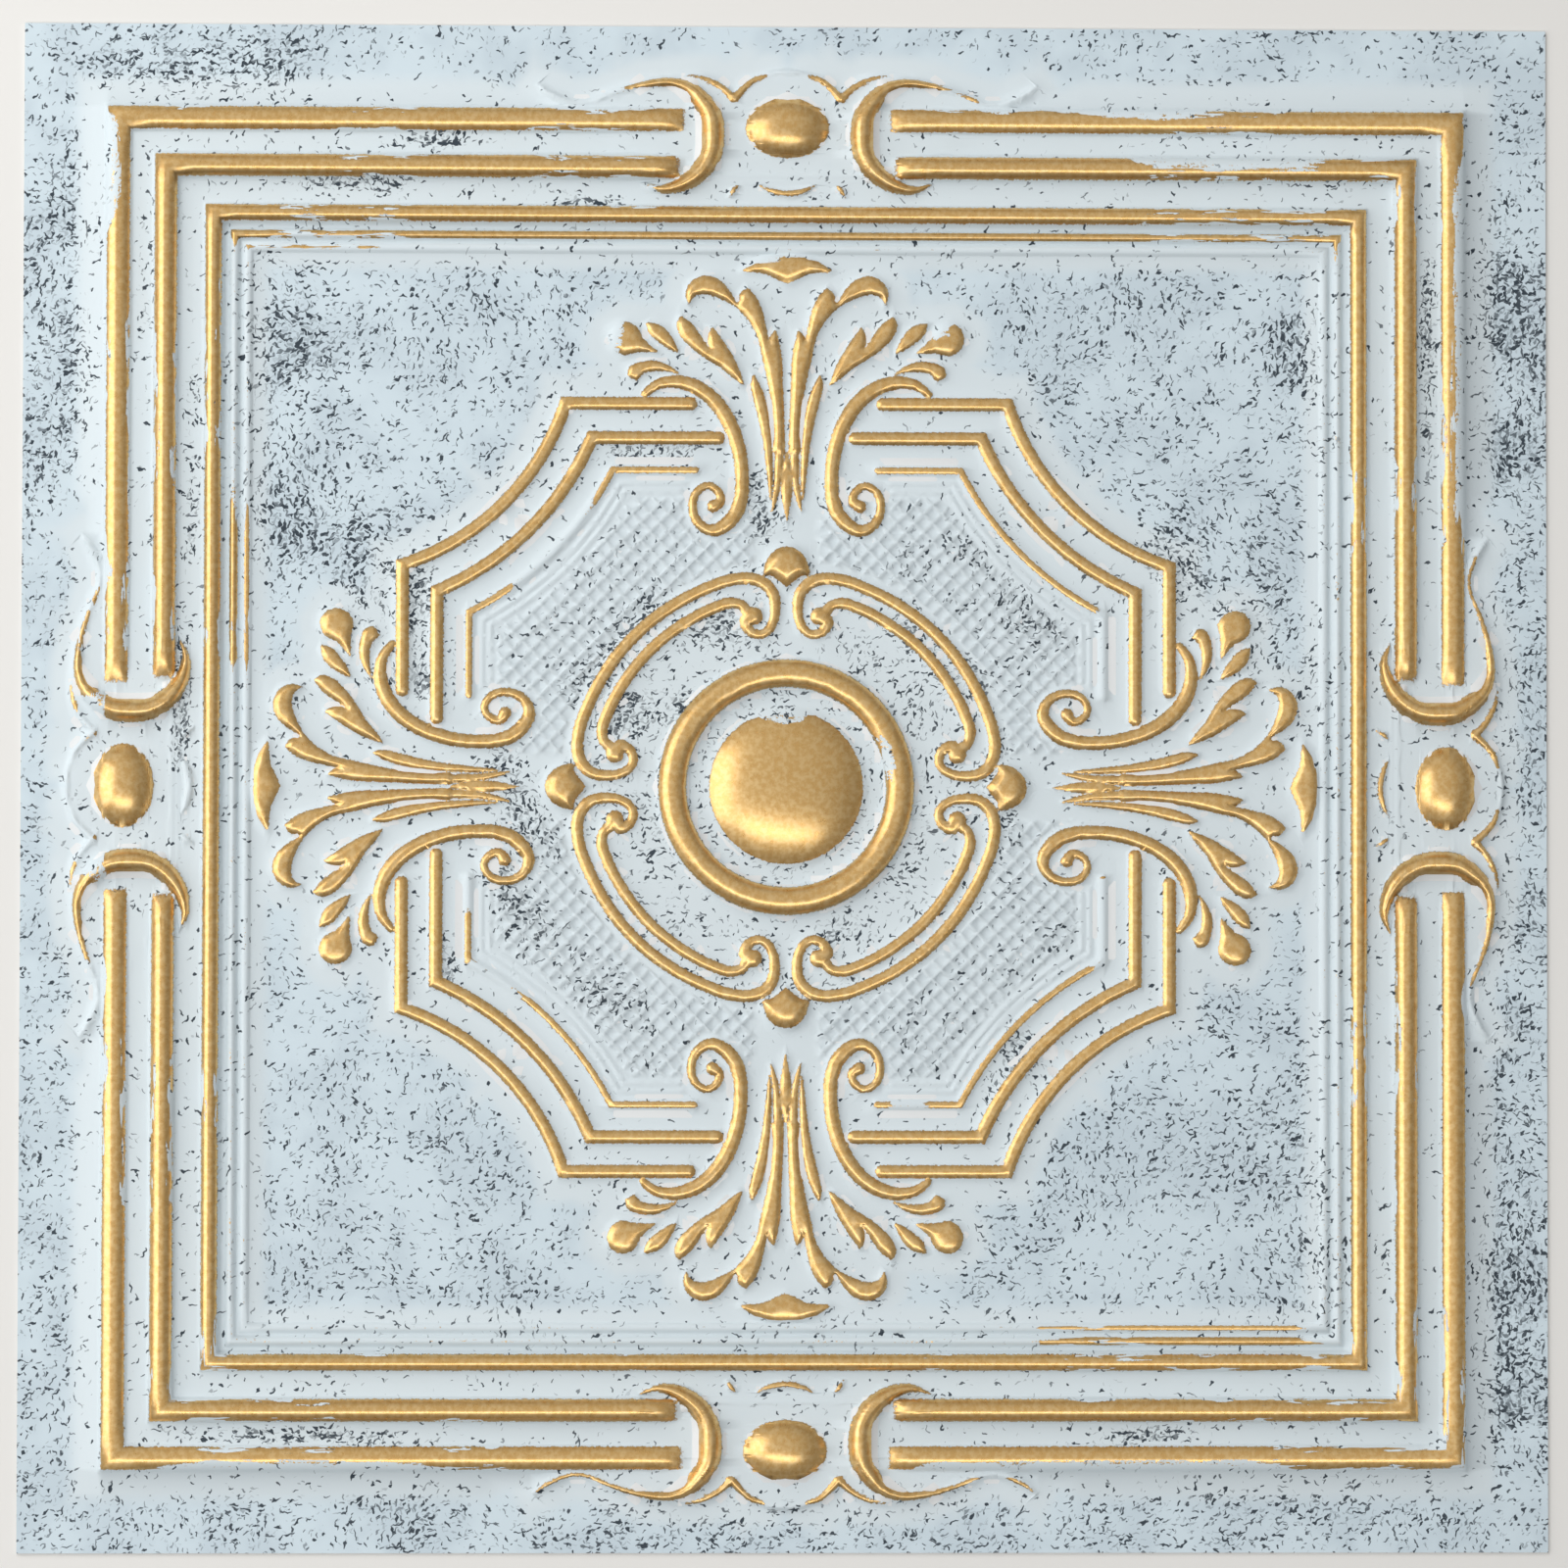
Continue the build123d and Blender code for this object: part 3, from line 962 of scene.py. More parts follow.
@dataclass
class FormedSheet:
    """The tile itself: a thin sheet whose front and back both follow the ornament.

    The low and high corners of its box are in metres. Each step of the skins has the distance that an
    edge may leave the relief and the length below which it stays whole, in mm.
    """

    low: Vector
    high: Vector
    ornament: Ornament = Ornament()
    cells: int = 18
    coarse: float = 14.0
    back_steps: tuple[Point, ...] = ((1.2, 9.0), (1.0, 8.0))
    front_steps: tuple[Point, ...] = ((0.45, 4.0), (0.35, 2.8), (0.24, 1.9), (0.17, 1.4))
    lattice_span: float = 190.0

    def __post_init__(self) -> None:
        """Takes the half side and the sheet's thickness, in mm, from the box."""
        self.half = (self.high.x - self.low.x) / 2 / MM
        self.sheet = (self.high.z - self.low.z) / MM - self.ornament.medallion.dome_high

    def heights(self, places: Array) -> Array:
        """Heights of the relief at rows of places."""
        return self.ornament.layer(places[:, 0], places[:, 1]).height

    def sector(self) -> bmesh.types.BMesh:
        """Makes one flat sector, cut along the mouldings and the lattice.

        Returns:
            The sector as a triangle of faces with its point at the tile's centre.
        """
        bm = bmesh.new()
        bmesh.ops.create_grid(bm, x_segments=self.cells, y_segments=self.cells, size=self.half / 2)
        bmesh.ops.translate(bm, verts=bm.verts, vec=(self.half / 2, self.half / 2, 0))
        for row in self.ornament.mouldings.stations():
            self.cut(bm, bm.faces[:], (0, row, 0), (0, 1, 0))
        everything = bm.verts[:] + bm.edges[:] + bm.faces[:]
        bmesh.ops.bisect_plane(
            bm, geom=everything, dist=ON_CUT, plane_co=(0, 0, 0), plane_no=(1, -1, 0), clear_outer=True
        )
        return bm

    @staticmethod
    def cut(bm: bmesh.types.BMesh, faces: list, through: Place | Vector, across: Place | Vector) -> None:
        """Cuts faces along a plane.

        Args:
            bm: The mesh.
            faces: Its faces to cut.
            through: A point on the plane.
            across: The plane's direction.
        """
        edges = {edge for face in faces for edge in face.edges}
        verts = {vert for face in faces for vert in face.verts}
        geom = list(verts) + list(edges) + list(faces)
        bmesh.ops.bisect_plane(bm, geom=geom, dist=ON_CUT, plane_co=through, plane_no=across)

    def cut_lattice(self, bm: bmesh.types.BMesh) -> None:
        """Cuts the latticed ground of a sector along its ribs."""
        ribbed = self.mark_lattice(bm)
        slant = 1 / math.sqrt(2)
        for across in (Vector((slant, slant, 0)), Vector((-slant, slant, 0))):
            for row in self.ornament.lattice.cuts(self.lattice_span):
                crossed = []
                for face in bm.faces:
                    if face[ribbed]:
                        sides = [vert.co.dot(across) - row for vert in face.verts]
                        if min(sides) < -ON_CUT and max(sides) > ON_CUT:
                            crossed.append(face)
                if crossed:
                    self.cut(bm, crossed, across * row, across)

    def mark_lattice(self, bm: bmesh.types.BMesh) -> bmesh.types.BMLayerItem:
        """Marks the faces of the latticed ground.

        Args:
            bm: The sector.

        Returns:
            The layer of the marks.
        """
        ribbed = bm.faces.layers.int.new("ribbed")
        middles = np.array([face.calc_center_median()[:2] for face in bm.faces])
        plan = Plan(middles[:, 0], middles[:, 1])
        zone = self.ornament.lattice_zone(plan, self.ornament.layer(middles[:, 0], middles[:, 1]))
        for face, inside in zip(bm.faces, zone > -self.ornament.lattice.form_gap):
            face[ribbed] = int(inside)
        return ribbed

    def refine(self, bm: bmesh.types.BMesh, tolerance: float, shortest: float) -> None:
        """Splits the edges that are too long for the forms under them.

        Args:
            bm: The sector.
            tolerance: How far an edge may leave the relief, in mm.
            shortest: Edges shorter than this stay whole.
        """
        bm.verts.index_update()
        places = np.array([vert.co[:2] for vert in bm.verts])
        ends = np.array([[vert.index for vert in edge.verts] for edge in bm.edges])
        start, stop = places[ends[:, 0]], places[ends[:, 1]]
        length = np.hypot(*(stop - start).T)
        level = self.heights(places)
        error = np.zeros(len(ends))
        for share in (0.25, 0.5, 0.75):
            layer = self.ornament.layer(*((1 - share) * start + share * stop).T)
            straight = (1 - share) * level[ends[:, 0]] + share * level[ends[:, 1]]
            error = np.maximum(error, np.abs(layer.height - straight))
            if share == 0.5:
                close = layer.reach > -0.7 * length
        slope = (level[ends[:, 1]] - level[ends[:, 0]]) / length
        wanted = (error / np.hypot(1, slope) > tolerance) & (length > shortest)
        wanted |= close & (length > self.coarse)
        edges = [edge for edge, want in zip(bm.edges[:], wanted) if want]
        if edges:
            bmesh.ops.subdivide_edges(bm, edges=edges, cuts=1, use_single_edge=True)
            self.triangulate(bm)

    @staticmethod
    def triangulate(bm: bmesh.types.BMesh) -> None:
        """Splits the faces of more than three sides."""
        faces = [face for face in bm.faces if len(face.verts) > 3]
        bmesh.ops.triangulate(bm, faces=faces, quad_method="BEAUTY", ngon_method="BEAUTY")

    @staticmethod
    def unfold(bm: bmesh.types.BMesh) -> None:
        """Mirrors a sector into the whole tile."""
        swap = Matrix(((0, 1, 0, 0), (1, 0, 0, 0), (0, 0, 1, 0), (0, 0, 0, 1)))
        for flip in (swap, Matrix.Diagonal((-1, 1, 1, 1)), Matrix.Diagonal((1, -1, 1, 1))):
            made = bmesh.ops.duplicate(bm, geom=bm.verts[:] + bm.edges[:] + bm.faces[:])["geom"]
            verts = [item for item in made if isinstance(item, bmesh.types.BMVert)]
            faces = [item for item in made if isinstance(item, bmesh.types.BMFace)]
            bmesh.ops.transform(bm, matrix=flip, verts=verts)
            bmesh.ops.reverse_faces(bm, faces=faces)
            bmesh.ops.remove_doubles(bm, verts=bm.verts[:], dist=1e-3)

    def lift(self, bm: bmesh.types.BMesh, base: float) -> None:
        """Raises a flat skin to the relief.

        Args:
            bm: The skin.
            base: Height of its flat ground.
        """
        places = np.array([vert.co[:2] for vert in bm.verts])
        for vert, height in zip(bm.verts, self.heights(places)):
            vert.co.z = base + height

    def build(self) -> bpy.types.Object:
        """Builds the closed sheet.

        Returns:
            The tile's object, with the attributes that its paint reads.
        """
        back = self.sector()
        self.triangulate(back)
        for tolerance, shortest in self.back_steps:
            self.refine(back, tolerance, shortest)
        front = back.copy()
        self.cut_lattice(front)
        self.triangulate(front)
        for tolerance, shortest in self.front_steps:
            self.refine(front, tolerance, shortest)
        LOG.info("sector: %d front and %d back triangles", len(front.faces), len(back.faces))
        skins = bmesh.new()
        for skin, base in ((front, self.sheet), (back, 0.0)):
            self.lift(skin, base)
            self.unfold(skin)
            if skin is back:
                bmesh.ops.reverse_faces(skin, faces=skin.faces[:])
            bmesh.ops.scale(skin, verts=skin.verts[:], vec=(MM, MM, MM))
            mesh = bpy.data.meshes.new("skin")
            skin.to_mesh(mesh)
            skins.from_mesh(mesh)
            bpy.data.meshes.remove(mesh)
            skin.free()
        rim = [edge for edge in skins.edges if edge.is_boundary]
        wall = bmesh.ops.bridge_loops(skins, edges=rim)["faces"]
        bmesh.ops.recalc_face_normals(skins, faces=skins.faces[:])
        for face in skins.faces:
            face.smooth = True
        for face in wall:
            for edge in face.edges:
                edge.smooth = False
        mesh = bpy.data.meshes.new("formed_sheet")
        skins.to_mesh(mesh)
        skins.free()
        self.write_attributes(mesh)
        tile = bpy.data.objects.new("formed_sheet", mesh)
        bpy.context.scene.collection.objects.link(tile)
        return tile

    def write_attributes(self, mesh: bpy.types.Mesh) -> None:
        """Stores what the paint needs at each point of the sheet.

        Args:
            mesh: The whole sheet, in metres.
        """
        places = np.empty(len(mesh.vertices) * 3)
        mesh.vertices.foreach_get("co", places)
        x, y, z = places.reshape(-1, 3).T / MM
        layer = self.ornament.layer(x, y)
        plan = Plan(x, y)
        shown = (z > layer.height + self.sheet / 2).astype(float)
        zone = self.ornament.lattice_zone(plan, layer)
        # How steeply the relief rises up the tile: the gold reads it to paint shade on its slopes that
        # face down
        rise = (self.ornament.layer(x, y + LEE_STEP).height - layer.height) / LEE_STEP
        values = {
            "gilt": np.clip(layer.gilt, -GILT_LIMIT, GILT_LIMIT),
            # Lattice cells, which the paint darkens with painted shade between the ribs
            "cell": np.clip(zone, 0, 1) - self.ornament.lattice.ribs(plan, zone),
            "worn": np.max([place.share(x, y) for place in WORN_PLACES], axis=0),
            "grime": np.sum([place.share(x, y) for place in GRIMY_PLACES], axis=0),
            "shown": shown,
            "lee": np.clip(rise, 0, 2),
        }
        for name, value in values.items():
            mesh.attributes.new(name, "FLOAT", "POINT").data.foreach_set("value", value)
        along = np.select([y >= np.abs(x), x >= np.abs(y), -y >= np.abs(x)], [x, y, -x], -y)
        in_frame = plan.b > FRAME_FROM
        brush = np.stack(
            [
                np.where(in_frame, along, x),
                np.where(in_frame, plan.b, y),
                np.where(in_frame, 0.03 * x + 0.05 * y, 0.0),
            ],
            axis=1,
        )
        mesh.attributes.new("brush", "FLOAT_VECTOR", "POINT").data.foreach_set("vector", brush.ravel())


Socket = bpy.types.NodeSocket


class Graph:
    """Short ways to place and join shader nodes in one tree."""

    def __init__(self, tree: bpy.types.NodeTree) -> None:
        """Takes the tree to fill."""
        self.tree = tree

    def node(self, kind: str, inputs: dict | None = None, **settings: object) -> bpy.types.Node:
        """Adds a node.

        Args:
            kind: The node's type.
            inputs: What its sockets hold, by name or number: sockets to join, or values.
            settings: The node's own settings.

        Returns:
            The node.
        """
        node = self.tree.nodes.new(kind)
        for name, value in settings.items():
            setattr(node, name, value)
        for name, value in (inputs or {}).items():
            if isinstance(value, Socket):
                self.tree.links.new(value, node.inputs[name])
            else:
                node.inputs[name].default_value = value
        return node

    def math(self, operation: str, *values: Socket | float) -> Socket:
        """Adds a Math node and returns its result."""
        return self.node("ShaderNodeMath", dict(enumerate(values)), operation=operation).outputs[0]

    def product(self, *values: Socket | float) -> Socket:
        """Multiplies two values."""
        return self.math("MULTIPLY", *values)

    def vector(self, operation: str, *values: Socket | tuple | float) -> Socket:
        """Adds a Vector Math node and returns its result."""
        inputs = dict(enumerate(values))
        node = self.node("ShaderNodeVectorMath", inputs, operation=operation)
        return node.outputs["Value" if operation == "LENGTH" else "Vector"]

    def scaled(self, vector: Socket, factors: tuple[float, float, float]) -> Socket:
        """Multiplies a vector by factors."""
        return self.vector("MULTIPLY", vector, factors)

    def noise(self, vector: Socket, detail: float, roughness: float = 0.55, axes: str = "2D") -> Socket:
        """Adds a noise texture on coordinates that are already scaled, and returns its value."""
        inputs = {"Vector": vector, "Scale": 1.0, "Detail": detail, "Roughness": roughness}
        return self.node("ShaderNodeTexNoise", inputs, noise_dimensions=axes).outputs[0]

    def ramp(self, value: Socket, low: float, high: float, start: float = 0.0, end: float = 1.0) -> Socket:
        """Maps a value smoothly from one range to another.

        Args:
            value: The value.
            low: Where the change starts.
            high: Where it ends.
            start: The result up to low.
            end: The result from high on.

        Returns:
            The mapped value.
        """
        inputs = {"Value": value, "From Min": low, "From Max": high, "To Min": start, "To Max": end}
        return self.node("ShaderNodeMapRange", inputs, interpolation_type="SMOOTHSTEP").outputs[0]

    def group(self, tree: bpy.types.NodeTree, inputs: dict) -> Socket:
        """Places a node group with its own values and returns its first output."""
        return self.node("ShaderNodeGroup", inputs, node_tree=tree).outputs[0]

    def blend(self, share: Socket, first: Socket | Colour, second: Socket | Colour) -> Socket:
        """Mixes two colours.

        Args:
            share: How much of the second one.
            first: The first colour.
            second: The second colour.

        Returns:
            The mixed colour.
        """
        inputs = {0: share, 6: first, 7: second}
        return self.node("ShaderNodeMix", inputs, data_type="RGBA", clamp_factor=True).outputs[2]


def new_group(
    name: str, inputs: dict[str, str], outputs: dict[str, str]
) -> tuple[Graph, bpy.types.NodeOutputs, bpy.types.Node]:
    """Starts a shader node group.

    Args:
        name: The group's name.
        inputs: Socket types of its inputs, by name.
        outputs: Socket types of its outputs, by name.

    Returns:
        The group's graph, the sockets of its inputs and the node of its outputs.
    """
    tree = bpy.data.node_groups.new(name, "ShaderNodeTree")
    for label, kind in inputs.items():
        tree.interface.new_socket(label, in_out="INPUT", socket_type=kind)
    for label, kind in outputs.items():
        tree.interface.new_socket(label, in_out="OUTPUT", socket_type=kind)
    graph = Graph(tree)
    entry = graph.node("NodeGroupInput")
    return graph, entry.outputs, graph.node("NodeGroupOutput")


FLOAT = "NodeSocketFloat"
VECTOR = "NodeSocketVector"


@dataclass(frozen=True)
class DashMarks:
    """Short dry-brush marks, one to a cell, each turned its own way."""

    faintest: float = 0.2

    def group(self) -> bpy.types.NodeTree:
        """Builds the node group.

        Returns:
            A group that gives the mask of the marks.
        """
        inputs = {
            "Coord": VECTOR,
            "Cell": FLOAT,
            "Length": FLOAT,
            "Width": FLOAT,
            "Density": FLOAT,
            "Angle": FLOAT,
            "Swing": FLOAT,
        }
        g, given, out = new_group("dash_marks", inputs, {"Mask": FLOAT})
        inverse = g.math("DIVIDE", 1.0, given["Cell"])
        place = g.node(
            "ShaderNodeVectorMath", {0: given["Coord"], "Scale": inverse}, operation="SCALE"
        ).outputs[0]
        cells = g.node("ShaderNodeTexVoronoi", {"Vector": place, "Scale": 1.0}, voronoi_dimensions="2D")
        chance = g.node("ShaderNodeSeparateColor", {"Color": cells.outputs["Color"]}).outputs
        turn = g.math("MULTIPLY_ADD", g.math("SUBTRACT", chance[0], 0.5), given["Swing"], given["Angle"])
        offset = g.scaled(g.vector("SUBTRACT", place, cells.outputs["Position"]), (1.0, 1.0, 0.0))
        turned = g.node(
            "ShaderNodeVectorRotate", {"Vector": offset, "Angle": turn}, rotation_type="Z_AXIS"
        ).outputs[0]
        size = {"X": given["Length"], "Y": given["Width"], "Z": 1.0}
        shape = g.node("ShaderNodeCombineXYZ", size).outputs[0]
        measure = g.vector("LENGTH", g.vector("DIVIDE", turned, shape))
        swollen = g.ramp(given["Density"], 0.45, 0.95, 0.55, 1.05)
        measure = g.math("DIVIDE", measure, g.math("MULTIPLY_ADD", chance[2], 0.7, swollen))
        present = g.math("LESS_THAN", chance[1], given["Density"])
        strength = g.ramp(chance[2], 0.1, 0.9, self.faintest, 1.0)
        mask = g.ramp(measure, 0.65, 1.0, 1.0, 0.0)
        mask = g.product(mask, g.product(present, strength))
        g.tree.links.new(mask, out.inputs["Mask"])
        return g.tree


@dataclass(frozen=True)
class MarkSize:
    """One size of dry-brush mark: its cell in mm, its shape in cells, its turn and its share of cells."""

    cell: float
    length: float
    width: float
    swing: float
    share: float


@dataclass(frozen=True)
class DistressedPaint:
    """White wash with dark dry-brush marks, and painted shade in the lattice cells."""

    white: Colour = srgb(203, 217, 224)
    shade: Colour = srgb(192, 206, 214)
    clean: Colour = srgb(209, 219, 223)
    # Darker colour of the lattice cells between the ribs: painted shade in the recesses
    cell: Colour = srgb(184, 194, 199)
    slate: Colour = srgb(42, 54, 64)
    roughness: float = 0.5
    loose: tuple[MarkSize, ...] = (
        MarkSize(1.9, 0.5, 0.2, 2.6, 0.65),
        MarkSize(2.8, 0.52, 0.15, 2.0, 0.8),
        MarkSize(4.6, 0.52, 0.095, 1.6, 0.5),
    )
    combed: MarkSize = MarkSize(4.6, 0.62, 0.09, 0.3, 0.9)
    medal_radius: float = 90.0
    star_radius: float = 146.0
    cell_shade_share: float = 0.3

    def colour(
        self,
        g: Graph,
        marks: bpy.types.NodeTree,
        coord: Socket,
        brush: Socket,
        cloud: Socket,
        gilt: Socket,
        grime: Socket,
        cell: Socket,
    ) -> Socket:
        """Lays the paint's nodes.

        Args:
            g: The material's graph.
            marks: The group of dry-brush marks.
            coord: Place on the tile, in mm.
            brush: Place along and across the brush strokes, in mm.
            cloud: A broad noise.
            gilt: Distance inside the gilded outline, in mm.
            grime: How thick the dark marks stand, from 0 to 1.
            cell: One in the cells of the lattice, nothing on its ribs and beside it; the cells get painted
                shade.

        Returns:
            The paint's colour.
        """
        patch = g.noise(g.scaled(coord, (0.024, 0.024, 0.024)), 3.0, 0.66)
        near = g.ramp(gilt, -11.5, -6.0)
        radius = g.vector("LENGTH", coord)
        inside = g.ramp(radius, self.star_radius - 8, self.star_radius + 8, 1.0, 0.0)
        medal = (self.medal_radius - 5, self.medal_radius + 3)
        latticed = g.product(inside, g.ramp(radius, *medal))
        halo = g.product(near, g.ramp(radius, *medal, 0.25, 1.0))
        spread = g.product(g.ramp(patch, 0.34, 0.66, 0.3, 0.74), g.ramp(latticed, 0.0, 1.0, 1.0, 0.5))
        spread = g.product(spread, g.ramp(halo, 0.0, 1.0, 1.0, 0.3))
        thick = g.product(grime, g.ramp(patch, 0.3, 0.6, 0.5, 1.1))
        dense = g.math("ADD", spread, thick)
        wobble = g.node(
            "ShaderNodeTexNoise", {"Vector": coord, "Scale": 0.6, "Detail": 0.0}, noise_dimensions="2D"
        ).outputs["Color"]
        shake = g.scaled(g.vector("SUBTRACT", wobble, (0.5, 0.5, 0.5)), (1.6, 1.6, 0.0))
        place = g.vector("ADD", coord, shake)
        combed = g.vector("ADD", brush, shake)
        across = g.node("ShaderNodeSeparateXYZ", {0: brush}).outputs[1]
        in_frame = g.ramp(across, FRAME_FROM - 1, FRAME_FROM + 1)
        lean = g.math("MULTIPLY_ADD", cloud, 5.0, -3.1)
        total = None
        for size in (*self.loose, self.combed):
            of_frame = size is self.combed
            often = g.product(g.product(thick, in_frame) if of_frame else dense, size.share)
            inputs = {
                "Coord": combed if of_frame else place,
                "Cell": size.cell,
                "Length": size.length,
                "Width": size.width,
                "Density": often,
                "Angle": 0.0 if of_frame else lean,
                "Swing": size.swing,
            }
            mask = g.group(marks, inputs)
            total = mask if total is None else g.math("MAXIMUM", total, mask)
        wash = g.blend(g.ramp(patch, 0.35, 0.65), self.white, self.shade)
        wash = g.blend(g.math("MAXIMUM", near, inside), wash, self.clean)
        # Painted shade: the lattice cells between the ribs are darkened
        wash = g.blend(g.product(cell, self.cell_shade_share), wash, self.cell)
        return g.blend(total, wash, self.slate)


@dataclass(frozen=True)
class GoldLeaf:
    """Brushed gold with ragged borders, worn through in places, with a brown rim that is partly painted
    shade and brown painted shade on its down-facing slopes.
    """

    gold: Colour = srgb(228, 184, 116)
    pale: Colour = srgb(240, 203, 142)
    # Brown of the gold's dark rim, which is partly painted shade, and of the painted shade on its
    # down-facing slopes
    brown: Colour = srgb(104, 78, 48)
    roughness: float = 0.23
    ragged: float = 1.8
    rubbing: float = 2.4
    # Shares of brown: in the gold's dark rim, which is partly painted shade, and in the painted shade on
    # its down-facing slopes
    border_share: float = 0.45
    lower_shade_share: float = 0.6
    metallic: float = 0.9

    def mask(
        self, g: Graph, gilt: Socket, worn: Socket, brush: Socket, cloud: Socket
    ) -> tuple[Socket, Socket]:
        """Lays the nodes of the gold's outline.

        Args:
            g: The material's graph.
            gilt: Distance inside the gilded outline, in mm.
            worn: How far the gilding is rubbed off, from 0 to 1.
            brush: Place along and across the brush strokes, in mm.
            cloud: A broad noise.

        Returns:
            The mask of the gold and of its dark border, which is partly painted shade at the gold's edge.
        """
        ragged = g.noise(g.scaled(brush, (0.9, 0.9, 1.0)), 3.0, 0.7, "3D")
        streak = g.noise(g.scaled(brush, (0.06, 0.6, 1.0)), 2.0, 0.65, "3D")
        rubbed = g.ramp(cloud, 0.5, 0.62)
        along, across, _ = g.node("ShaderNodeSeparateXYZ", {0: brush}).outputs
        rubbed = g.product(rubbed, g.ramp(across, FRAME_FROM - 1, FRAME_FROM + 1))
        rubbed = g.product(rubbed, g.ramp(g.math("ABSOLUTE", along), 46.0, 60.0))
        edge = g.math("ADD", gilt, g.product(g.math("SUBTRACT", ragged, 0.5), self.ragged))
        edge = g.math("SUBTRACT", edge, g.product(rubbed, g.ramp(streak, 0.46, 0.64, 0.0, self.rubbing)))
        loss = g.math("ADD", g.ramp(streak, 0.38, 0.58, 0.5, 5.0), g.ramp(ragged, 0.34, 0.6, 0.0, 5.0))
        edge = g.math("SUBTRACT", edge, g.product(worn, loss))
        # The dark border: partly the gilding's own rim, partly painted shade at its edge
        border = g.product(g.ramp(edge, -0.2, 0.05), g.ramp(edge, 0.05, 0.4, 1.0, 0.0))
        return g.ramp(edge, -0.1, 0.15), border

    def colour(self, g: Graph, mottle: Socket) -> Socket:
        """Colour of the gold, mottled by a fine noise."""
        return g.blend(g.ramp(mottle, 0.35, 0.7), self.gold, self.pale)


@dataclass(frozen=True)
class TileFinish:
    """The tile's whole finish: painted and gilded in front, bare plastic behind."""

    paint: DistressedPaint = DistressedPaint()
    leaf: GoldLeaf = GoldLeaf()
    plastic: Colour = srgb(222, 224, 224)
    mottle_roughness: float = 0.14
    bump_depth: float = 0.13
    bump_strength: float = 0.2

    def material(self) -> bpy.types.Material:
        """Builds the material.

        Returns:
            The finished material.
        """
        material = bpy.data.materials.new("painted_sheet")
        material.use_nodes = True
        tree = material.node_tree
        tree.nodes.clear()
        g = Graph(tree)
        coord = g.scaled(g.node("ShaderNodeTexCoord").outputs["Object"], (1 / MM, 1 / MM, 1 / MM))
        gilt, worn, grime, cell, shown, lee = (
            g.node("ShaderNodeAttribute", attribute_name=name).outputs["Fac"]
            for name in ("gilt", "worn", "grime", "cell", "shown", "lee")
        )
        brush = g.node("ShaderNodeAttribute", attribute_name="brush").outputs["Vector"]
        marks = DashMarks().group()
        cloud = g.noise(g.scaled(coord, (0.014, 0.014, 0.014)), 1.0)
        paint = self.paint.colour(g, marks, coord, brush, cloud, gilt, grime, cell)
        gold, border = self.leaf.mask(g, gilt, worn, brush, cloud)
        fine = g.noise(g.scaled(coord, (0.4, 0.4, 0.4)), 2.0, 0.65)
        colour = g.blend(gold, paint, self.leaf.colour(g, fine))
        # Painted shade: gold slopes that face down the tile are mixed towards brown
        painted_lower_shade = g.product(gold, g.ramp(lee, 0.4, 1.2, 0.0, self.leaf.lower_shade_share))
        # Brown for the gold's dark rim, partly painted shade, and for the painted shade on down-facing
        # slopes
        rim_and_painted_shade = g.math("MAXIMUM", g.product(border, self.leaf.border_share), painted_lower_shade)
        colour = g.blend(rim_and_painted_shade, colour, self.leaf.brown)
        colour = g.blend(shown, self.plastic, colour)
        front_gold = g.product(gold, shown)
        rough = g.ramp(front_gold, 0.0, 1.0, self.paint.roughness, self.leaf.roughness)
        rough = g.math("ADD", rough, g.product(fine, self.mottle_roughness))
        depth = {"Distance": self.bump_depth * MM, "Strength": self.bump_strength}
        bump = g.node("ShaderNodeBump", {"Height": fine, **depth})
        shader = g.node(
            "ShaderNodeBsdfPrincipled",
            {
                "Base Color": colour,
                "Metallic": g.product(front_gold, self.leaf.metallic),
                "Roughness": rough,
                "Normal": bump.outputs[0],
            },
        )
        g.node("ShaderNodeOutputMaterial", {"Surface": shader.outputs[0]})
        return material


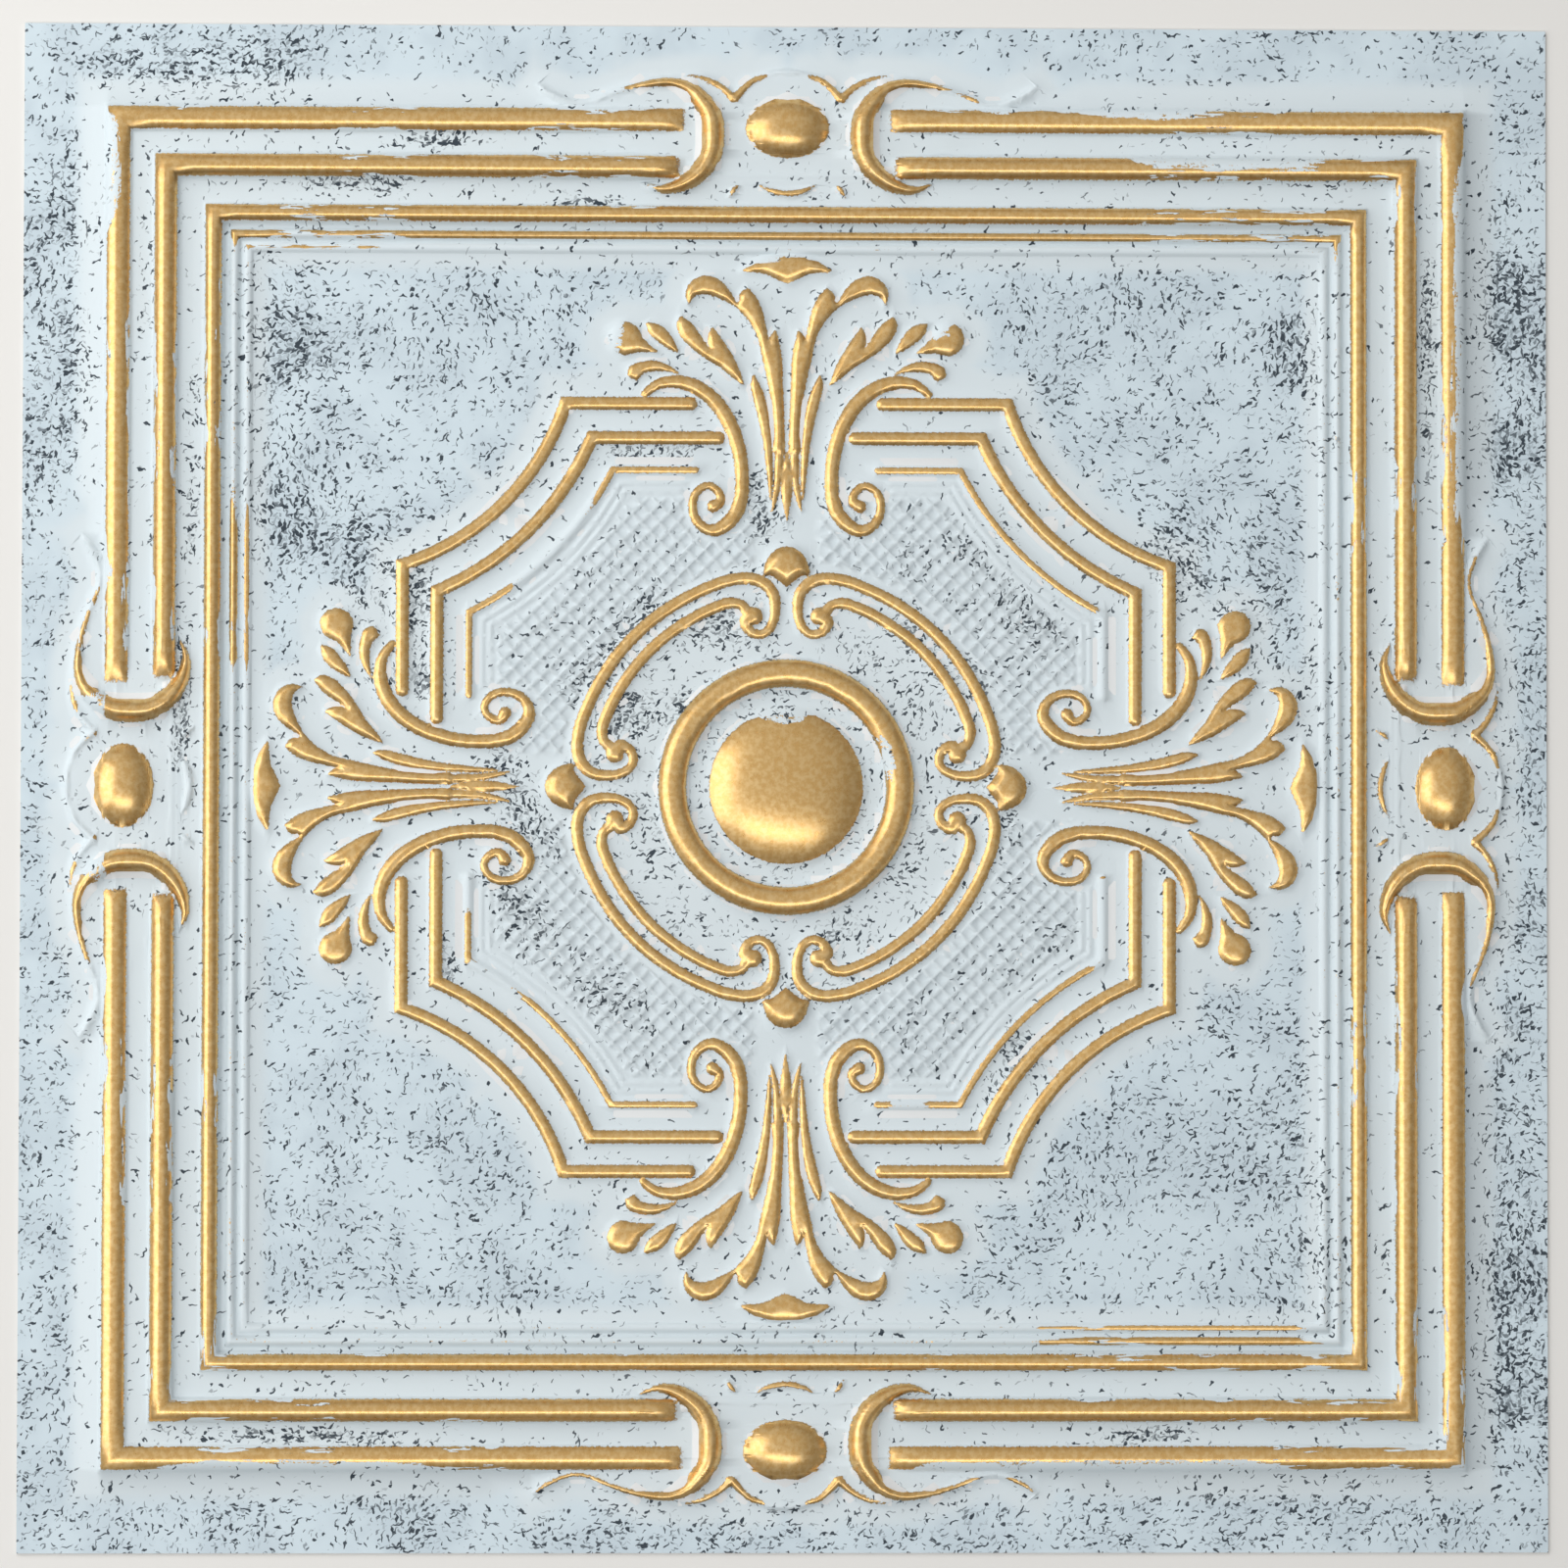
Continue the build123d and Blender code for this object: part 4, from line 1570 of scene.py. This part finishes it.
@dataclass(frozen=True)
class Studio:
    """Plain pale floor, soft light from the left and the near side, and a camera straight above."""

    floor_colour: Colour = srgb(226, 224, 220)
    sky_low: float = 0.28
    sky_high: float = 0.62
    sky_towards: Place = (-0.35, 0.25, 0.9)
    camera_at: Place = (-0.0587, -0.0678, 2.3219)
    camera_turn: Place = (1.701, -1.431, 0.108)
    lens: float = 135.0
    floor_half: float = 3.0
    floor_drop: float = 0.0002
    floor_roughness: float = 0.8

    def build(self) -> None:
        """Sets up the floor, the light and the camera."""
        scene = bpy.context.scene
        scene.view_settings.view_transform = "Standard"
        self.floor()
        world = bpy.data.worlds.new("studio")
        world.use_nodes = True
        g = Graph(world.node_tree)
        way = g.node("ShaderNodeTexCoord").outputs["Generated"]
        facing = g.node("ShaderNodeVectorMath", {0: way, 1: self.sky_towards}, operation="DOT_PRODUCT")
        sky = g.ramp(facing.outputs["Value"], 0.15, 1.0, self.sky_low, self.sky_high)
        world.node_tree.links.new(sky, world.node_tree.nodes["Background"].inputs["Strength"])
        world.node_tree.nodes["Background"].inputs["Color"].default_value = (1, 1, 1, 1)
        scene.world = world
        self.lamp("left", (-1.75, 0.1, 1.1), (2.1, 1.75), 18.5)
        self.lamp("near", (-0.2, -1.4, 2.6), (3.0, 0.5), 17.0)
        fill = self.lamp("fill", (-0.8, 1.35, 1.2), (1.1, 1.1), 14.0)
        fill.visible_glossy = False
        camera = bpy.data.objects.new("camera", bpy.data.cameras.new("camera"))
        camera.data.lens = self.lens
        camera.location = self.camera_at
        camera.rotation_euler = [math.radians(angle) for angle in self.camera_turn]
        scene.collection.objects.link(camera)
        scene.camera = camera

    def floor(self) -> None:
        """Lays the floor just under the tile."""
        bm = bmesh.new()
        bmesh.ops.create_grid(bm, x_segments=1, y_segments=1, size=self.floor_half)
        bmesh.ops.translate(bm, verts=bm.verts, vec=(0, 0, -self.floor_drop))
        mesh = bpy.data.meshes.new("floor")
        bm.to_mesh(mesh)
        bm.free()
        floor = bpy.data.objects.new("floor", mesh)
        material = bpy.data.materials.new("floor")
        material.use_nodes = True
        shader = material.node_tree.nodes["Principled BSDF"]
        shader.inputs["Base Color"].default_value = self.floor_colour
        shader.inputs["Roughness"].default_value = self.floor_roughness
        mesh.materials.append(material)
        bpy.context.scene.collection.objects.link(floor)

    @staticmethod
    def lamp(name: str, at: Place, size: Point, power: float) -> bpy.types.Object:
        """Hangs a soft lamp that faces the tile.

        Args:
            name: The lamp's name.
            at: Its place, in metres.
            size: Its level side and its other side.
            power: Its power in watts.

        Returns:
            The lamp.
        """
        light = bpy.data.lights.new(name, "AREA")
        light.shape = "RECTANGLE"
        light.size, light.size_y = size
        light.energy = power
        lamp = bpy.data.objects.new(name, light)
        lamp.location = at
        lamp.rotation_euler = (-Vector(at)).to_track_quat("-Z", "Y").to_euler()
        bpy.context.scene.collection.objects.link(lamp)
        return lamp


def main() -> None:
    """Builds the tile, paints it and sets up the studio."""
    logging.basicConfig(level=logging.INFO, format="%(name)s: %(message)s")
    tile = FormedSheet(*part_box("ceiling_tile")).build()
    tile.data.materials.append(TileFinish().material())
    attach(tile, "root")
    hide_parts("ceiling_tile")
    LOG.info("formed_sheet: %d faces", len(tile.data.polygons))
    Studio().build()


if __name__ == "__main__":
    main()
